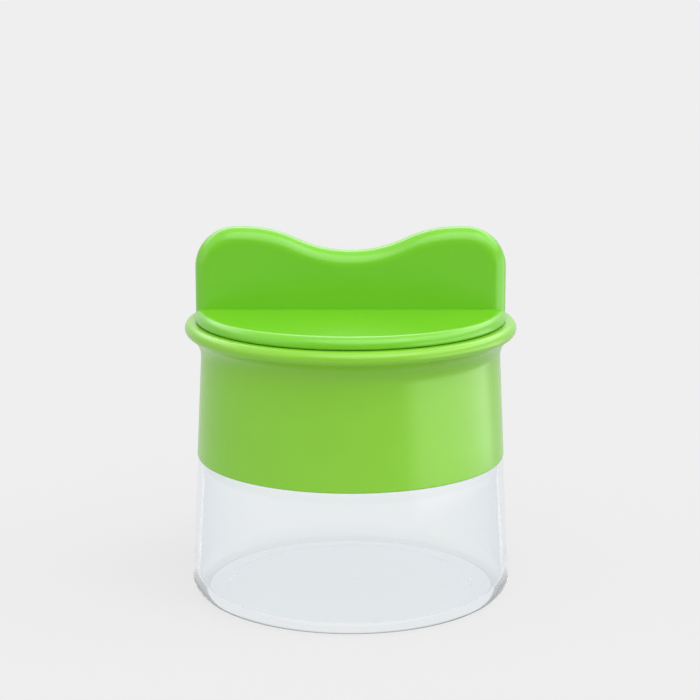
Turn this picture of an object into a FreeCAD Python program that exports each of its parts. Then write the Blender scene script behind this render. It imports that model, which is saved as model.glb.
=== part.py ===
import FreeCAD, Part

"""Hand-held spiral vegetable cutter, in millimetres, +Z up.

The origin is the centre of the container's base, on the surface that it stands on.
A clear container stands at the bottom. A green head screws onto its neck and carries the blade
platform in a feed sleeve. A round holder with a two-lobed grip sits on the head's flared lip: it
presses a vegetable onto the blade and is turned by hand. Each function makes one kind of piece, and
main() writes each piece to parts/NAME.step.
"""

import math
import os

from FreeCAD import Placement, Rotation, Vector

# Clearances
FIT_GAP = 0.1            # between two pieces that are fixed to each other, radially
RUNNING_GAP = 0.05       # radially, between a pin and the bore it turns in
SEAT_GAP = 0.1           # between a piece and the one it rests on, where either can be lifted off
FUSE_DEPTH = 0.4         # how deep a rib or tooth is sunk into the wall that it grows from

# Container: the clear cup
BASE_RADIUS = 43.9
CUP_TAPER = 1.9          # how much narrower the cup is at its shoulder
CUP_HEIGHT = 38.5        # from the table to the shoulder that the head closes on
CUP_WALL = 2.0
CUP_FLOOR = 2.2
BASE_CORNER = 4.8        # outer rounding between base and wall
FOOT_WIDTH = 5.0         # flat ring that the cup stands on
PUNT_DEPTH = 0.8         # how far the middle of the base is raised
INNER_SHOULDER = 3.5     # height of the slope from the cup's wall in to its neck
NECK_HEIGHT = 8.0
NECK_WALL = 1.8
NECK_CHAMFER = 0.6

# Screw thread between container and head: short ribs, several starts
THREAD_LEAD = 9.0
THREAD_STARTS = 3
THREAD_SPAN = 75.0       # degrees that each rib runs round
THREAD_DEPTH = 1.3
THREAD_ROOT = 1.6        # rib width where it meets its wall
THREAD_CREST = 0.8
THREAD_PLAY = 0.4        # radial gap between a crest and the wall opposite
THREAD_RISE = 3.2        # from the shoulder to the middle of the container rib's lower end

# Head: outer ring with a flared lip
RING_PROUD = 0.1         # how far its lower edge stands out past the cup's shoulder
RING_TAPER = 1.35        # how much narrower it is at its waist
RING_WALL = 1.8          # at the lower edge, outside the thread
WAIST_WALL = 1.45
HEAD_HEIGHT = 35.1       # from the head's lower edge to the middle of the lip's rounding
LIP_REACH = 1.95         # from the waist out to the middle of the lip's rounding
LIP_ROUND = 2.3
LIP_WIDTH = 2.6          # from the middle of the lip's rounding to its inner edge
LIP_INNER_ROUND = 0.9
FLARE_RADIUS = 5.5       # hollow rounding under the lip
LEDGE_THICKNESS = 1.5    # inner ledge that the sleeve stands on
LEDGE_WIDTH = 5.0        # from the sleeve's bore to the ledge's inner edge
LEDGE_ABOVE_NECK = 2.0

# Feed sleeve inside the ring
SLEEVE_WALL = 1.2
SLEEVE_FOOT = 2.0
SLEEVE_FLANGE = 1.4
SLEEVE_BELOW_CREST = 1.7 # from the top of the lip down to the flange

# Blade platform
PLATFORM_THICKNESS = 3.0
HUB_RADIUS = 5.0
HUB_DROP = 3.0           # how far the hub reaches below the platform
SLOT_MARGIN = 0.7        # from the slot's ends to the hub and to the ledge
SLOT_FRONT = 5.2         # from the blade's line forward to the slot's front edge
SLOT_BACK = 1.0
BLADE_THICKNESS = 0.6
BLADE_WIDTH = 11.0
BLADE_TILT = 11.0        # degrees
BLADE_LIFT = 2.2         # slice thickness: cutting edge above the platform
BLADE_OVERHANG = 2.6     # from the blade's line to its cutting edge
BLADE_BEVEL = 2.2
BLADE_END_MARGIN = 1.6   # how far the blade runs on past the ledge's inner edge
BLADE_CORNER = 1.0
RIVET_INSET = 6.0        # from the blade's ends to its rivets
RIVET_RADIUS = 1.0
RIVET_HEAD_RADIUS = 2.0
RIVET_HEAD = 0.5
RIVET_LENGTH = 2.4       # below the blade
RIVET_FROM_BACK = 3.4    # from the blade's back edge

# Pins on the axis, in the platform and in the holder
PIN_RADIUS = 1.5
PIN_HEAD_RADIUS = 2.8
PIN_HEAD = 1.0
CENTRE_PIN_REACH = 8.0   # above the platform
PIN_TIP_GAP = 3.85       # between the two pins' tips when the holder is down
PIN_POINT = 3.5          # length of the cone at the tip

# Small screws
SCREW_RADIUS = 1.1
SCREW_HEAD_RADIUS = 2.1
SCREW_HEAD = 1.2
SCREW_POINT = 0.8
SCREW_RECESS = 0.7
SCREW_RECESS_WIDTH = 0.6
SCREW_RECESS_SPAN = 2.5
PILOT_SPARE = 0.3        # how much deeper a pilot hole is than its screw
PLATFORM_SCREWS = 3
PLATFORM_SCREW_BITE = 2.2  # depth in the platform

# Holder: disc and grip
DISC_SETBACK = 0.6       # how far its edge lies inside the middle of the lip's rounding
DISC_THICKNESS = 3.2
DISC_TOP_ROUND = 1.6
DISC_BOTTOM_ROUND = 0.6
GRIP_THICKNESS = 8.4
GRIP_CREST = 0.4         # flat left along the grip's rounded edge
GRIP_LOBE_HEIGHT = 22.0  # above the disc
GRIP_DIP_HEIGHT = 15.5
GRIP_LOBE_INSET = 13.1   # from the disc's edge to the top of each lobe
GRIP_CORNER = 9.0
GRIP_WALL = 2.0
PILLAR_RADIUS = 3.0      # screw pillars in the hollow grip
HOLDER_SCREW_INSET = 5.55  # from the edge of the web's register to the outer screws
HOLDER_SCREW_INNER = 13.0  # from the axis to the inner screws
HOLDER_SCREW_BITE = 6.0

# Tooth ring under the disc
SKIRT_PLAY = 1.7         # radially, inside the feed sleeve
SKIRT_WALL = 1.5
SKIRT_HEIGHT = 3.9
WEB_THICKNESS = 1.8      # below the disc's underside
WEB_REGISTER = 0.7       # how far the web stands up into the disc
RIB_COUNT = 24
RIB_WIDTH = 1.1
RIB_PROUD = 0.45
RIB_SHORTER = 0.7        # how far a rib stops above the skirt's lower edge
TOOTH_COUNT = 8
TOOTH_INSET = 10.8       # from the inside of the skirt to the middle of the teeth
TOOTH_THICKNESS = 1.6    # radial
TOOTH_TIP_THICKNESS = 0.7
TOOTH_WIDTH = 3.7
TOOTH_TIP_WIDTH = 0.6
TOOTH_REACH = 5.6        # below the skirt's lower edge
PRONG_COUNT = 4
PRONG_CIRCLE = 8.5
PRONG_RADIUS = 0.9
PRONG_HEAD_RADIUS = 1.8
PRONG_HEAD = 0.8
PRONG_REACH = 6.5        # below the web
PRONG_POINT = 2.6

# Heights that follow from the sizes above
NECK_TOP = CUP_HEIGHT + NECK_HEIGHT
HEAD_BOTTOM = CUP_HEIGHT + SEAT_GAP
LIP_MIDDLE = HEAD_BOTTOM + HEAD_HEIGHT
LEDGE_BOTTOM = NECK_TOP + LEDGE_ABOVE_NECK
LEDGE_TOP = LEDGE_BOTTOM + LEDGE_THICKNESS
PLATFORM_BOTTOM = LEDGE_TOP + SLEEVE_FOOT
PLATFORM_TOP = PLATFORM_BOTTOM + PLATFORM_THICKNESS
LIP_TOP = LIP_MIDDLE + LIP_ROUND
FLANGE_TOP = LIP_TOP - SLEEVE_BELOW_CREST
FLANGE_BOTTOM = FLANGE_TOP - SLEEVE_FLANGE
DISC_BOTTOM = LIP_TOP + SEAT_GAP
DISC_TOP = DISC_BOTTOM + DISC_THICKNESS
WEB_TOP = DISC_BOTTOM + WEB_REGISTER
WEB_BOTTOM = DISC_BOTTOM - WEB_THICKNESS
SKIRT_BOTTOM = DISC_BOTTOM - SKIRT_HEIGHT

CENTRE_PIN_TOP = PLATFORM_TOP + CENTRE_PIN_REACH - RUNNING_GAP
HOLDER_PIN_REACH = WEB_BOTTOM - CENTRE_PIN_TOP - PIN_TIP_GAP

# Radii and places that follow
SHOULDER_RADIUS = BASE_RADIUS - CUP_TAPER
RING_BOTTOM_RADIUS = SHOULDER_RADIUS + RING_PROUD
RING_WAIST_RADIUS = RING_BOTTOM_RADIUS - RING_TAPER
THREAD_BORE = RING_BOTTOM_RADIUS - RING_WALL
NECK_RADIUS = THREAD_BORE - THREAD_PLAY - THREAD_DEPTH
LIP_MIDDLE_RADIUS = RING_WAIST_RADIUS + LIP_REACH
LIP_INNER_RADIUS = LIP_MIDDLE_RADIUS - LIP_WIDTH
RING_BORE = RING_WAIST_RADIUS - WAIST_WALL
SLEEVE_RADIUS = RING_BORE - FIT_GAP - SLEEVE_WALL
LEDGE_INNER_RADIUS = SLEEVE_RADIUS - LEDGE_WIDTH
PLATFORM_RADIUS = SLEEVE_RADIUS - FIT_GAP
PLATFORM_SCREW_CIRCLE = (LEDGE_INNER_RADIUS + PLATFORM_RADIUS) / 2
DISC_RADIUS = LIP_MIDDLE_RADIUS - DISC_SETBACK
GRIP_LOBE_CENTRE = DISC_RADIUS - GRIP_LOBE_INSET
GRIP_EDGE_ROUND = (GRIP_THICKNESS - GRIP_CREST) / 2
SKIRT_RADIUS = SLEEVE_RADIUS - SKIRT_PLAY
WEB_REGISTER_RADIUS = SKIRT_RADIUS - SKIRT_WALL / 2
TOOTH_CIRCLE = SKIRT_RADIUS - SKIRT_WALL - TOOTH_INSET
HOLDER_SCREW_OUTER = WEB_REGISTER_RADIUS - HOLDER_SCREW_INSET
HOLDER_SCREW_PLACES = (-HOLDER_SCREW_OUTER, -HOLDER_SCREW_INNER, HOLDER_SCREW_INNER, HOLDER_SCREW_OUTER)

AXIS = Vector(0, 0, 1)
ORIGIN = Vector(0, 0, 0)


def on_circle(centre, radius, degrees):
    """The point at that angle on a circle in the plane of radius and height."""
    turn = math.radians(degrees)
    return (centre[0] + radius * math.cos(turn), centre[1] + radius * math.sin(turn))


def angle_to(centre, point):
    """Degrees from centre to point in the plane of radius and height."""
    return math.degrees(math.atan2(point[1] - centre[1], point[0] - centre[0]))


def tangent_angle(point, centre, radius, side):
    """Angle on the circle where a straight line from point touches it, on the side +1 or -1."""
    distance = math.hypot(point[0] - centre[0], point[1] - centre[1])
    return angle_to(centre, point) + side * math.degrees(math.acos(radius / distance))


def arc(centre, radius, first, last):
    """A step of an outline: an arc from one angle to another, as its middle and its end."""
    return (
        on_circle(centre, radius, (first + last) / 2),
        on_circle(centre, radius, last),
    )


def outline(start, *steps):
    """A closed flat face. A step is the end of a straight line, or an arc's middle and end."""
    place = lambda p: Vector(p[0], 0, p[1])
    edges = []
    here = start
    for step in steps + (start,):
        if isinstance(step[0], tuple):
            middle, end = step
            edges.append(Part.Arc(place(here), place(middle), place(end)).toShape())
        else:
            end = step
            if math.dist(here, end) < 1e-7:
                continue
            edges.append(Part.LineSegment(place(here), place(end)).toShape())
        here = end
    return Part.Face(Part.Wire(edges))


def turned(face):
    """The solid of revolution of an outline about the Z axis."""
    return face.revolve(ORIGIN, AXIS, 360)


def cylinder(radius, bottom, top, x=0.0, y=0.0):
    return Part.makeCylinder(radius, top - bottom, Vector(x, y, bottom))


def round_the_axis(shape, count, start=0.0):
    """Copies of a shape, evenly spaced about the Z axis."""
    copies = []
    for i in range(count):
        copy = shape.copy()
        copy.rotate(ORIGIN, AXIS, start + 360.0 * i / count)
        copies.append(copy)
    return copies


def thread_ribs(wall_radius, crest_radius, lower_end):
    """Helical ribs that grow from a wall to a crest, one for each start of the thread."""
    outwards = 1 if crest_radius > wall_radius else -1
    root = wall_radius - outwards * FUSE_DEPTH
    slope = (THREAD_ROOT - THREAD_CREST) / 2 / abs(crest_radius - wall_radius)
    half_root = THREAD_ROOT / 2 + slope * FUSE_DEPTH
    half_crest = THREAD_CREST / 2
    corners = [(root, -half_root), (crest_radius, -half_crest), (crest_radius, half_crest), (root, half_root)]
    points = [Vector(r, 0, z) for r, z in corners + corners[:1]]
    section = Part.makePolygon(points)
    path = Part.makeHelix(THREAD_LEAD, THREAD_LEAD * THREAD_SPAN / 360, wall_radius)
    rib = Part.Wire(path.Edges).makePipeShell([section], True, True)
    rib.translate(Vector(0, 0, lower_end))
    return round_the_axis(rib, THREAD_STARTS)


def make_container():
    """Clear cup: it stands on a flat ring, tapers up to a shoulder and ends in a threaded neck."""
    corner = (BASE_RADIUS - BASE_CORNER, BASE_CORNER)
    shoulder = (SHOULDER_RADIUS, CUP_HEIGHT)
    wall_angle = tangent_angle(shoulder, corner, BASE_CORNER, -1)
    inner_corner = BASE_CORNER - CUP_WALL
    inner_shoulder = (SHOULDER_RADIUS - CUP_WALL, CUP_HEIGHT - INNER_SHOULDER)
    floor_top = PUNT_DEPTH + CUP_FLOOR
    foot_inner = corner[0] - FOOT_WIDTH
    neck_inner = NECK_RADIUS - NECK_WALL
    floor_corner = (corner[0], floor_top + inner_corner)
    inner_angle = tangent_angle(inner_shoulder, floor_corner, inner_corner, -1)
    cup = turned(outline(
        (0, PUNT_DEPTH),
        (foot_inner - PUNT_DEPTH, PUNT_DEPTH),
        (foot_inner, 0),
        (corner[0], 0),
        arc(corner, BASE_CORNER, -90, wall_angle),
        shoulder,
        (NECK_RADIUS, CUP_HEIGHT),
        (NECK_RADIUS, NECK_TOP - NECK_CHAMFER),
        (NECK_RADIUS - NECK_CHAMFER, NECK_TOP),
        (neck_inner, NECK_TOP),
        (neck_inner, CUP_HEIGHT - CUP_WALL),
        inner_shoulder,
        on_circle(floor_corner, inner_corner, inner_angle),
        arc(floor_corner, inner_corner, inner_angle, -90),
        (0, floor_top),
    ))
    ribs = thread_ribs(NECK_RADIUS, NECK_RADIUS + THREAD_DEPTH, CUP_HEIGHT + THREAD_RISE)
    return cup.fuse(ribs).removeSplitter()


def make_head_ring():
    """Outer ring of the head: threaded skirt, inner ledge and a rounded, flared lip."""
    lip = (LIP_MIDDLE_RADIUS, LIP_MIDDLE)
    inner_lip = (LIP_INNER_RADIUS + LIP_INNER_ROUND, LIP_TOP - LIP_INNER_ROUND)
    flare_rise = math.sqrt(
        (FLARE_RADIUS + LIP_ROUND) ** 2
        - (RING_WAIST_RADIUS + FLARE_RADIUS - LIP_MIDDLE_RADIUS) ** 2
    )
    flare = (RING_WAIST_RADIUS + FLARE_RADIUS, LIP_MIDDLE - flare_rise)
    bottom = (RING_BOTTOM_RADIUS, HEAD_BOTTOM)
    wall_angle = tangent_angle(bottom, flare, FLARE_RADIUS, -1) % 360
    ring = turned(outline(
        (THREAD_BORE, HEAD_BOTTOM),
        bottom,
        on_circle(flare, FLARE_RADIUS, wall_angle),
        arc(flare, FLARE_RADIUS, wall_angle, angle_to(flare, lip)),
        arc(lip, LIP_ROUND, angle_to(lip, flare), 90),
        (inner_lip[0], LIP_TOP),
        arc(inner_lip, LIP_INNER_ROUND, 90, 180),
        (LIP_INNER_RADIUS, FLANGE_BOTTOM),
        (RING_BORE, FLANGE_BOTTOM),
        (RING_BORE, LEDGE_TOP),
        (LEDGE_INNER_RADIUS, LEDGE_TOP),
        (LEDGE_INNER_RADIUS, LEDGE_BOTTOM),
        (THREAD_BORE, LEDGE_BOTTOM),
    ))
    half_start = THREAD_LEAD / THREAD_STARTS / 2
    ribs = thread_ribs(THREAD_BORE, THREAD_BORE - THREAD_DEPTH, CUP_HEIGHT + THREAD_RISE - half_start)
    hole = cylinder(SCREW_RADIUS + FIT_GAP, LEDGE_BOTTOM, LEDGE_TOP, PLATFORM_SCREW_CIRCLE)
    holes = round_the_axis(hole, PLATFORM_SCREWS, platform_screw_start())
    return ring.fuse(ribs).cut(holes).removeSplitter()


def platform_screw_start():
    """Angle of the first platform screw: half a step round from the blade, which lies along +X."""
    return 180.0 / PLATFORM_SCREWS


def make_feed_sleeve():
    """Tube that guides the vegetable. Its flange fills the lip, and its foot carries the platform."""
    tube = turned(outline(
        (LEDGE_INNER_RADIUS, LEDGE_TOP),
        (SLEEVE_RADIUS + SLEEVE_WALL, LEDGE_TOP),
        (SLEEVE_RADIUS + SLEEVE_WALL, FLANGE_BOTTOM),
        (LIP_INNER_RADIUS - FIT_GAP, FLANGE_BOTTOM),
        (LIP_INNER_RADIUS - FIT_GAP, FLANGE_TOP),
        (SLEEVE_RADIUS + SLEEVE_WALL / 2, FLANGE_TOP),
        (SLEEVE_RADIUS, FLANGE_TOP - SLEEVE_WALL / 2),
        (SLEEVE_RADIUS, PLATFORM_BOTTOM),
        (LEDGE_INNER_RADIUS, PLATFORM_BOTTOM),
    ))
    hole = cylinder(SCREW_RADIUS + FIT_GAP, LEDGE_TOP, PLATFORM_BOTTOM, PLATFORM_SCREW_CIRCLE)
    return tube.cut(round_the_axis(hole, PLATFORM_SCREWS, platform_screw_start()))


def blade_place():
    """Where the blade lies: its own X is radial, Y points to the cutting edge and Z is its upper side."""
    edge = Vector(0, BLADE_OVERHANG, PLATFORM_TOP + BLADE_LIFT)
    return Placement(edge, Rotation(Vector(1, 0, 0), BLADE_TILT))


def blade_ends():
    return HUB_RADIUS + SLOT_MARGIN, LEDGE_INNER_RADIUS + BLADE_END_MARGIN


def rivet_places():
    """The rivets' places in the blade's own frame."""
    inner, outer = blade_ends()
    return [(x, RIVET_FROM_BACK - BLADE_WIDTH) for x in (inner + RIVET_INSET, outer - RIVET_INSET)]


def make_blade():
    """Straight steel blade, ground to an edge on its upper side, with two rivet holes."""
    inner, outer = blade_ends()
    corners = [
        (0, 0),
        (-BLADE_BEVEL, BLADE_THICKNESS),
        (-BLADE_WIDTH, BLADE_THICKNESS),
        (-BLADE_WIDTH, 0),
    ]
    points = [Vector(inner, y, z) for y, z in corners + corners[:1]]
    blade = Part.Face(Part.makePolygon(points)).extrude(Vector(outer - inner, 0, 0))
    back = [
        e for e in blade.Edges
        if abs(e.CenterOfMass.y + BLADE_WIDTH) < 1e-6 and abs(e.Length - BLADE_THICKNESS) < 1e-6
    ]
    blade = blade.makeFillet(BLADE_CORNER, back)
    for x, y in rivet_places():
        blade = blade.cut(cylinder(RIVET_RADIUS + FIT_GAP / 2, -BLADE_THICKNESS, 2 * BLADE_THICKNESS, x, y))
    blade.Placement = blade_place()
    return blade


def make_rivet(x, y):
    """Domed rivet that holds the blade on its wedge."""
    dome_radius = (RIVET_HEAD_RADIUS ** 2 + RIVET_HEAD ** 2) / (2 * RIVET_HEAD)
    dome = (0, BLADE_THICKNESS + RIVET_HEAD - dome_radius)
    edge = (RIVET_HEAD_RADIUS, BLADE_THICKNESS)
    rivet = turned(outline(
        (0, -RIVET_LENGTH),
        (RIVET_RADIUS, -RIVET_LENGTH),
        (RIVET_RADIUS, BLADE_THICKNESS),
        edge,
        arc(dome, dome_radius, angle_to(dome, edge), 90),
    ))
    rivet.translate(Vector(x, y, 0))
    rivet.Placement = blade_place().multiply(rivet.Placement)
    return rivet


def make_platform():
    """Round platform with a hub, a radial slot that slices fall through and a wedge under the blade."""
    disc = cylinder(PLATFORM_RADIUS, PLATFORM_BOTTOM, PLATFORM_TOP)
    hub = cylinder(HUB_RADIUS, PLATFORM_BOTTOM - HUB_DROP, PLATFORM_TOP)
    inner, outer = blade_ends()
    tilt = math.radians(BLADE_TILT)
    under_blade = lambda y: PLATFORM_TOP + BLADE_LIFT - (BLADE_OVERHANG - y) * math.tan(tilt)
    back = BLADE_OVERHANG - BLADE_WIDTH * math.cos(tilt)
    corners = [
        (-SLOT_BACK, PLATFORM_TOP - FUSE_DEPTH),
        (-SLOT_BACK, under_blade(-SLOT_BACK)),
        (back, under_blade(back)),
        (back, PLATFORM_TOP - FUSE_DEPTH),
    ]
    points = [Vector(inner, y, z) for y, z in corners + corners[:1]]
    wedge = Part.Face(Part.makePolygon(points)).extrude(Vector(outer - inner, 0, 0))
    slot_outer = LEDGE_INNER_RADIUS - SLOT_MARGIN
    slot = Part.makeBox(
        slot_outer - inner,
        SLOT_FRONT + SLOT_BACK,
        PLATFORM_THICKNESS,
        Vector(inner, -SLOT_BACK, PLATFORM_BOTTOM),
    )
    platform = disc.fuse([hub, wedge]).cut(slot)
    platform = platform.cut(cylinder(PIN_RADIUS + RUNNING_GAP, PLATFORM_BOTTOM - HUB_DROP, PLATFORM_TOP))
    pilot_top = PLATFORM_BOTTOM + PLATFORM_SCREW_BITE + PILOT_SPARE
    pilot = cylinder(SCREW_RADIUS, PLATFORM_BOTTOM, pilot_top, PLATFORM_SCREW_CIRCLE)
    platform = platform.cut(round_the_axis(pilot, PLATFORM_SCREWS, platform_screw_start()))
    for x, y in rivet_places():
        hole = cylinder(RIVET_RADIUS, -RIVET_LENGTH, BLADE_THICKNESS, x, y)
        hole.Placement = blade_place().multiply(hole.Placement)
        platform = platform.cut(hole)
    return platform.removeSplitter()


def make_screw(bite):
    """Pan-head screw with a crossed recess. It points up from z = 0, and its head hangs below."""
    screw = turned(outline(
        (0, -SCREW_HEAD),
        (SCREW_HEAD_RADIUS - SCREW_HEAD / 2, -SCREW_HEAD),
        arc((SCREW_HEAD_RADIUS - SCREW_HEAD / 2, -SCREW_HEAD / 2), SCREW_HEAD / 2, -90, 0),
        (SCREW_HEAD_RADIUS, 0),
        (SCREW_RADIUS, 0),
        (SCREW_RADIUS, bite - SCREW_POINT),
        (SCREW_RADIUS / 3, bite),
        (0, bite),
    ))
    for along, across in ((SCREW_RECESS_SPAN, SCREW_RECESS_WIDTH), (SCREW_RECESS_WIDTH, SCREW_RECESS_SPAN)):
        screw = screw.cut(Part.makeBox(
            along, across, SCREW_RECESS, Vector(-along / 2, -across / 2, -SCREW_HEAD)
        ))
    return screw


def make_spike(radius, length, point, head_radius, head_height):
    """Headed spike that points up from the top of its head at z = 0."""
    return turned(outline(
        (0, -head_height),
        (head_radius, -head_height),
        (head_radius, 0),
        (radius, 0),
        (radius, length - point),
        (0, length),
    ))


def make_centre_pin():
    """Pin on the axis that keeps the vegetable centred on the platform."""
    stem = PLATFORM_THICKNESS + HUB_DROP
    pin = make_spike(PIN_RADIUS, stem + CENTRE_PIN_REACH, PIN_POINT, PIN_HEAD_RADIUS, PIN_HEAD)
    pin.translate(Vector(0, 0, PLATFORM_BOTTOM - HUB_DROP - RUNNING_GAP))
    return pin


def hanging(spike, x, y, top):
    """Turns a spike to point down, with its head's top at that height."""
    spike.rotate(ORIGIN, Vector(1, 0, 0), 180)
    spike.translate(Vector(x, y, top))
    return spike


def make_holder_pin():
    """Pin on the holder's axis. Its head is trapped between the web and the disc."""
    stem = WEB_THICKNESS + WEB_REGISTER - PIN_HEAD - RUNNING_GAP
    pin = make_spike(PIN_RADIUS, stem + HOLDER_PIN_REACH, PIN_POINT, PIN_HEAD_RADIUS, PIN_HEAD)
    return hanging(pin, 0, 0, WEB_BOTTOM + stem)


def prong_angles():
    """Angles of the prongs, half a step round from the holder's screws."""
    return [(i + 0.5) * 360.0 / PRONG_COUNT for i in range(PRONG_COUNT)]


def make_prong(degrees):
    """Steel prong that pierces the vegetable's end."""
    stem = WEB_THICKNESS + WEB_REGISTER - PRONG_HEAD
    prong = make_spike(PRONG_RADIUS, stem + PRONG_REACH, PRONG_POINT, PRONG_HEAD_RADIUS, PRONG_HEAD)
    x, y = on_circle((0, 0), PRONG_CIRCLE, degrees)
    return hanging(prong, x, y, WEB_BOTTOM + stem)


def grip_face(inset, bottom):
    """The two-lobed outline of the grip, drawn in by inset, down to the height bottom."""
    top = DISC_TOP + GRIP_LOBE_HEIGHT
    dip = DISC_TOP + GRIP_DIP_HEIGHT
    drop = top - dip
    radius = (GRIP_LOBE_CENTRE ** 2 + drop ** 2) / (4 * drop)
    end = DISC_RADIUS - FIT_GAP - inset
    corner = GRIP_CORNER - inset
    lean = math.degrees(math.asin(GRIP_LOBE_CENTRE / (2 * radius)))
    lobe = (GRIP_LOBE_CENTRE, top - radius)
    left_lobe = (-GRIP_LOBE_CENTRE, top - radius)
    hollow = (0, dip + radius)
    side = (DISC_RADIUS - FIT_GAP - GRIP_CORNER, top - GRIP_CORNER)
    left_side = (-side[0], side[1])
    return outline(
        (end, bottom),
        (end, side[1]),
        arc(side, corner, 0, 90),
        (lobe[0], top - inset),
        arc(lobe, radius - inset, 90, 90 + lean),
        arc(hollow, radius + inset, lean - 90, -90 - lean),
        arc(left_lobe, radius - inset, 90 - lean, 90),
        (left_side[0], top - inset),
        arc(left_side, corner, 90, 180),
        (-end, bottom),
    )


def make_grip_shell():
    """Disc and two-lobed grip in one moulding. The grip is hollow, with pillars for the screws."""
    disc = turned(outline(
        (0, DISC_BOTTOM),
        (DISC_RADIUS - DISC_BOTTOM_ROUND, DISC_BOTTOM),
        arc((DISC_RADIUS - DISC_BOTTOM_ROUND, DISC_BOTTOM + DISC_BOTTOM_ROUND), DISC_BOTTOM_ROUND, -90, 0),
        (DISC_RADIUS, DISC_TOP - DISC_TOP_ROUND),
        arc((DISC_RADIUS - DISC_TOP_ROUND, DISC_TOP - DISC_TOP_ROUND), DISC_TOP_ROUND, 0, 90),
        (0, DISC_TOP),
    ))
    root = DISC_BOTTOM + DISC_BOTTOM_ROUND
    half = GRIP_THICKNESS / 2
    grip = grip_face(0, root).extrude(Vector(0, GRIP_THICKNESS, 0))
    grip.translate(Vector(0, -half, 0))
    rim = [
        e for e in grip.Edges
        if abs(abs(e.CenterOfMass.y) - half) < 1e-6 and e.CenterOfMass.z > root + 1e-3
    ]
    grip = grip.makeFillet(GRIP_EDGE_ROUND, rim)
    hollow_half = half - GRIP_WALL
    hollow = grip_face(GRIP_WALL, DISC_BOTTOM).extrude(Vector(0, 2 * hollow_half, 0))
    hollow.translate(Vector(0, -hollow_half, 0))
    # The hollow ends inside the web's register, so that the disc's rim stays whole.
    reach = WEB_REGISTER_RADIUS - GRIP_WALL
    hollow = hollow.common(Part.makeBox(
        2 * reach, GRIP_THICKNESS, 2 * DISC_TOP, Vector(-reach, -half, 0)
    ))
    top = DISC_TOP + GRIP_LOBE_HEIGHT
    pillars = [cylinder(PILLAR_RADIUS, DISC_BOTTOM, top, x) for x in HOLDER_SCREW_PLACES]
    hollow = hollow.cut(pillars)
    shell = disc.fuse(grip).cut(hollow)
    shell = shell.cut(cylinder(WEB_REGISTER_RADIUS + FIT_GAP, DISC_BOTTOM, WEB_TOP + FIT_GAP))
    pilot_top = WEB_TOP + HOLDER_SCREW_BITE + PILOT_SPARE
    pilots = [cylinder(SCREW_RADIUS, DISC_BOTTOM, pilot_top, x) for x in HOLDER_SCREW_PLACES]
    return shell.cut(pilots).removeSplitter()


def make_tooth():
    """Saw tooth at angle 0: upright on the side that leads when the holder turns clockwise."""
    inner = TOOTH_CIRCLE - TOOTH_THICKNESS / 2
    outer = TOOTH_CIRCLE + TOOTH_THICKNESS / 2
    root = WEB_BOTTOM + FUSE_DEPTH
    tip = SKIRT_BOTTOM - TOOTH_REACH
    side = outline(
        (inner, tip),
        (inner + TOOTH_TIP_THICKNESS, tip),
        (outer, SKIRT_BOTTOM),
        (outer, root),
        (inner, root),
    )
    side = side.extrude(Vector(0, TOOTH_WIDTH, 0))
    side.translate(Vector(0, -TOOTH_WIDTH / 2, 0))
    half = TOOTH_WIDTH / 2
    saw = [(-half, root), (-half, tip), (TOOTH_TIP_WIDTH - half, tip), (half, SKIRT_BOTTOM), (half, root)]
    points = [Vector(inner, y, z) for y, z in saw + saw[:1]]
    return side.common(Part.Face(Part.makePolygon(points)).extrude(Vector(TOOTH_THICKNESS, 0, 0)))


def make_tooth_ring():
    """Ring under the disc: ribbed skirt, web, and teeth that bite the vegetable's rim."""
    ring = turned(outline(
        (0, WEB_BOTTOM),
        (SKIRT_RADIUS - SKIRT_WALL, WEB_BOTTOM),
        (SKIRT_RADIUS - SKIRT_WALL, SKIRT_BOTTOM),
        (SKIRT_RADIUS, SKIRT_BOTTOM),
        (SKIRT_RADIUS, DISC_BOTTOM),
        (WEB_REGISTER_RADIUS, DISC_BOTTOM),
        (WEB_REGISTER_RADIUS, WEB_TOP),
        (0, WEB_TOP),
    ))
    rib = Part.makeBox(
        RIB_PROUD + FUSE_DEPTH,
        RIB_WIDTH,
        SKIRT_HEIGHT - RIB_SHORTER,
        Vector(SKIRT_RADIUS - FUSE_DEPTH, -RIB_WIDTH / 2, SKIRT_BOTTOM + RIB_SHORTER),
    )
    half_step = 180.0 / RIB_COUNT
    ring = ring.fuse(round_the_axis(rib, RIB_COUNT, half_step) + round_the_axis(make_tooth(), TOOTH_COUNT))
    holes = [
        cylinder(PIN_RADIUS + RUNNING_GAP, WEB_BOTTOM, WEB_TOP),
        cylinder(PIN_HEAD_RADIUS + RUNNING_GAP, WEB_TOP - PIN_HEAD - 2 * RUNNING_GAP, WEB_TOP),
    ]
    for degrees in prong_angles():
        x, y = on_circle((0, 0), PRONG_CIRCLE, degrees)
        holes.append(cylinder(PRONG_RADIUS, WEB_BOTTOM, WEB_TOP, x, y))
        holes.append(cylinder(PRONG_HEAD_RADIUS + FIT_GAP, WEB_TOP - PRONG_HEAD, WEB_TOP, x, y))
    holes += [cylinder(SCREW_RADIUS + FIT_GAP, WEB_BOTTOM, WEB_TOP, x) for x in HOLDER_SCREW_PLACES]
    return ring.cut(holes).removeSplitter()


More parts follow.
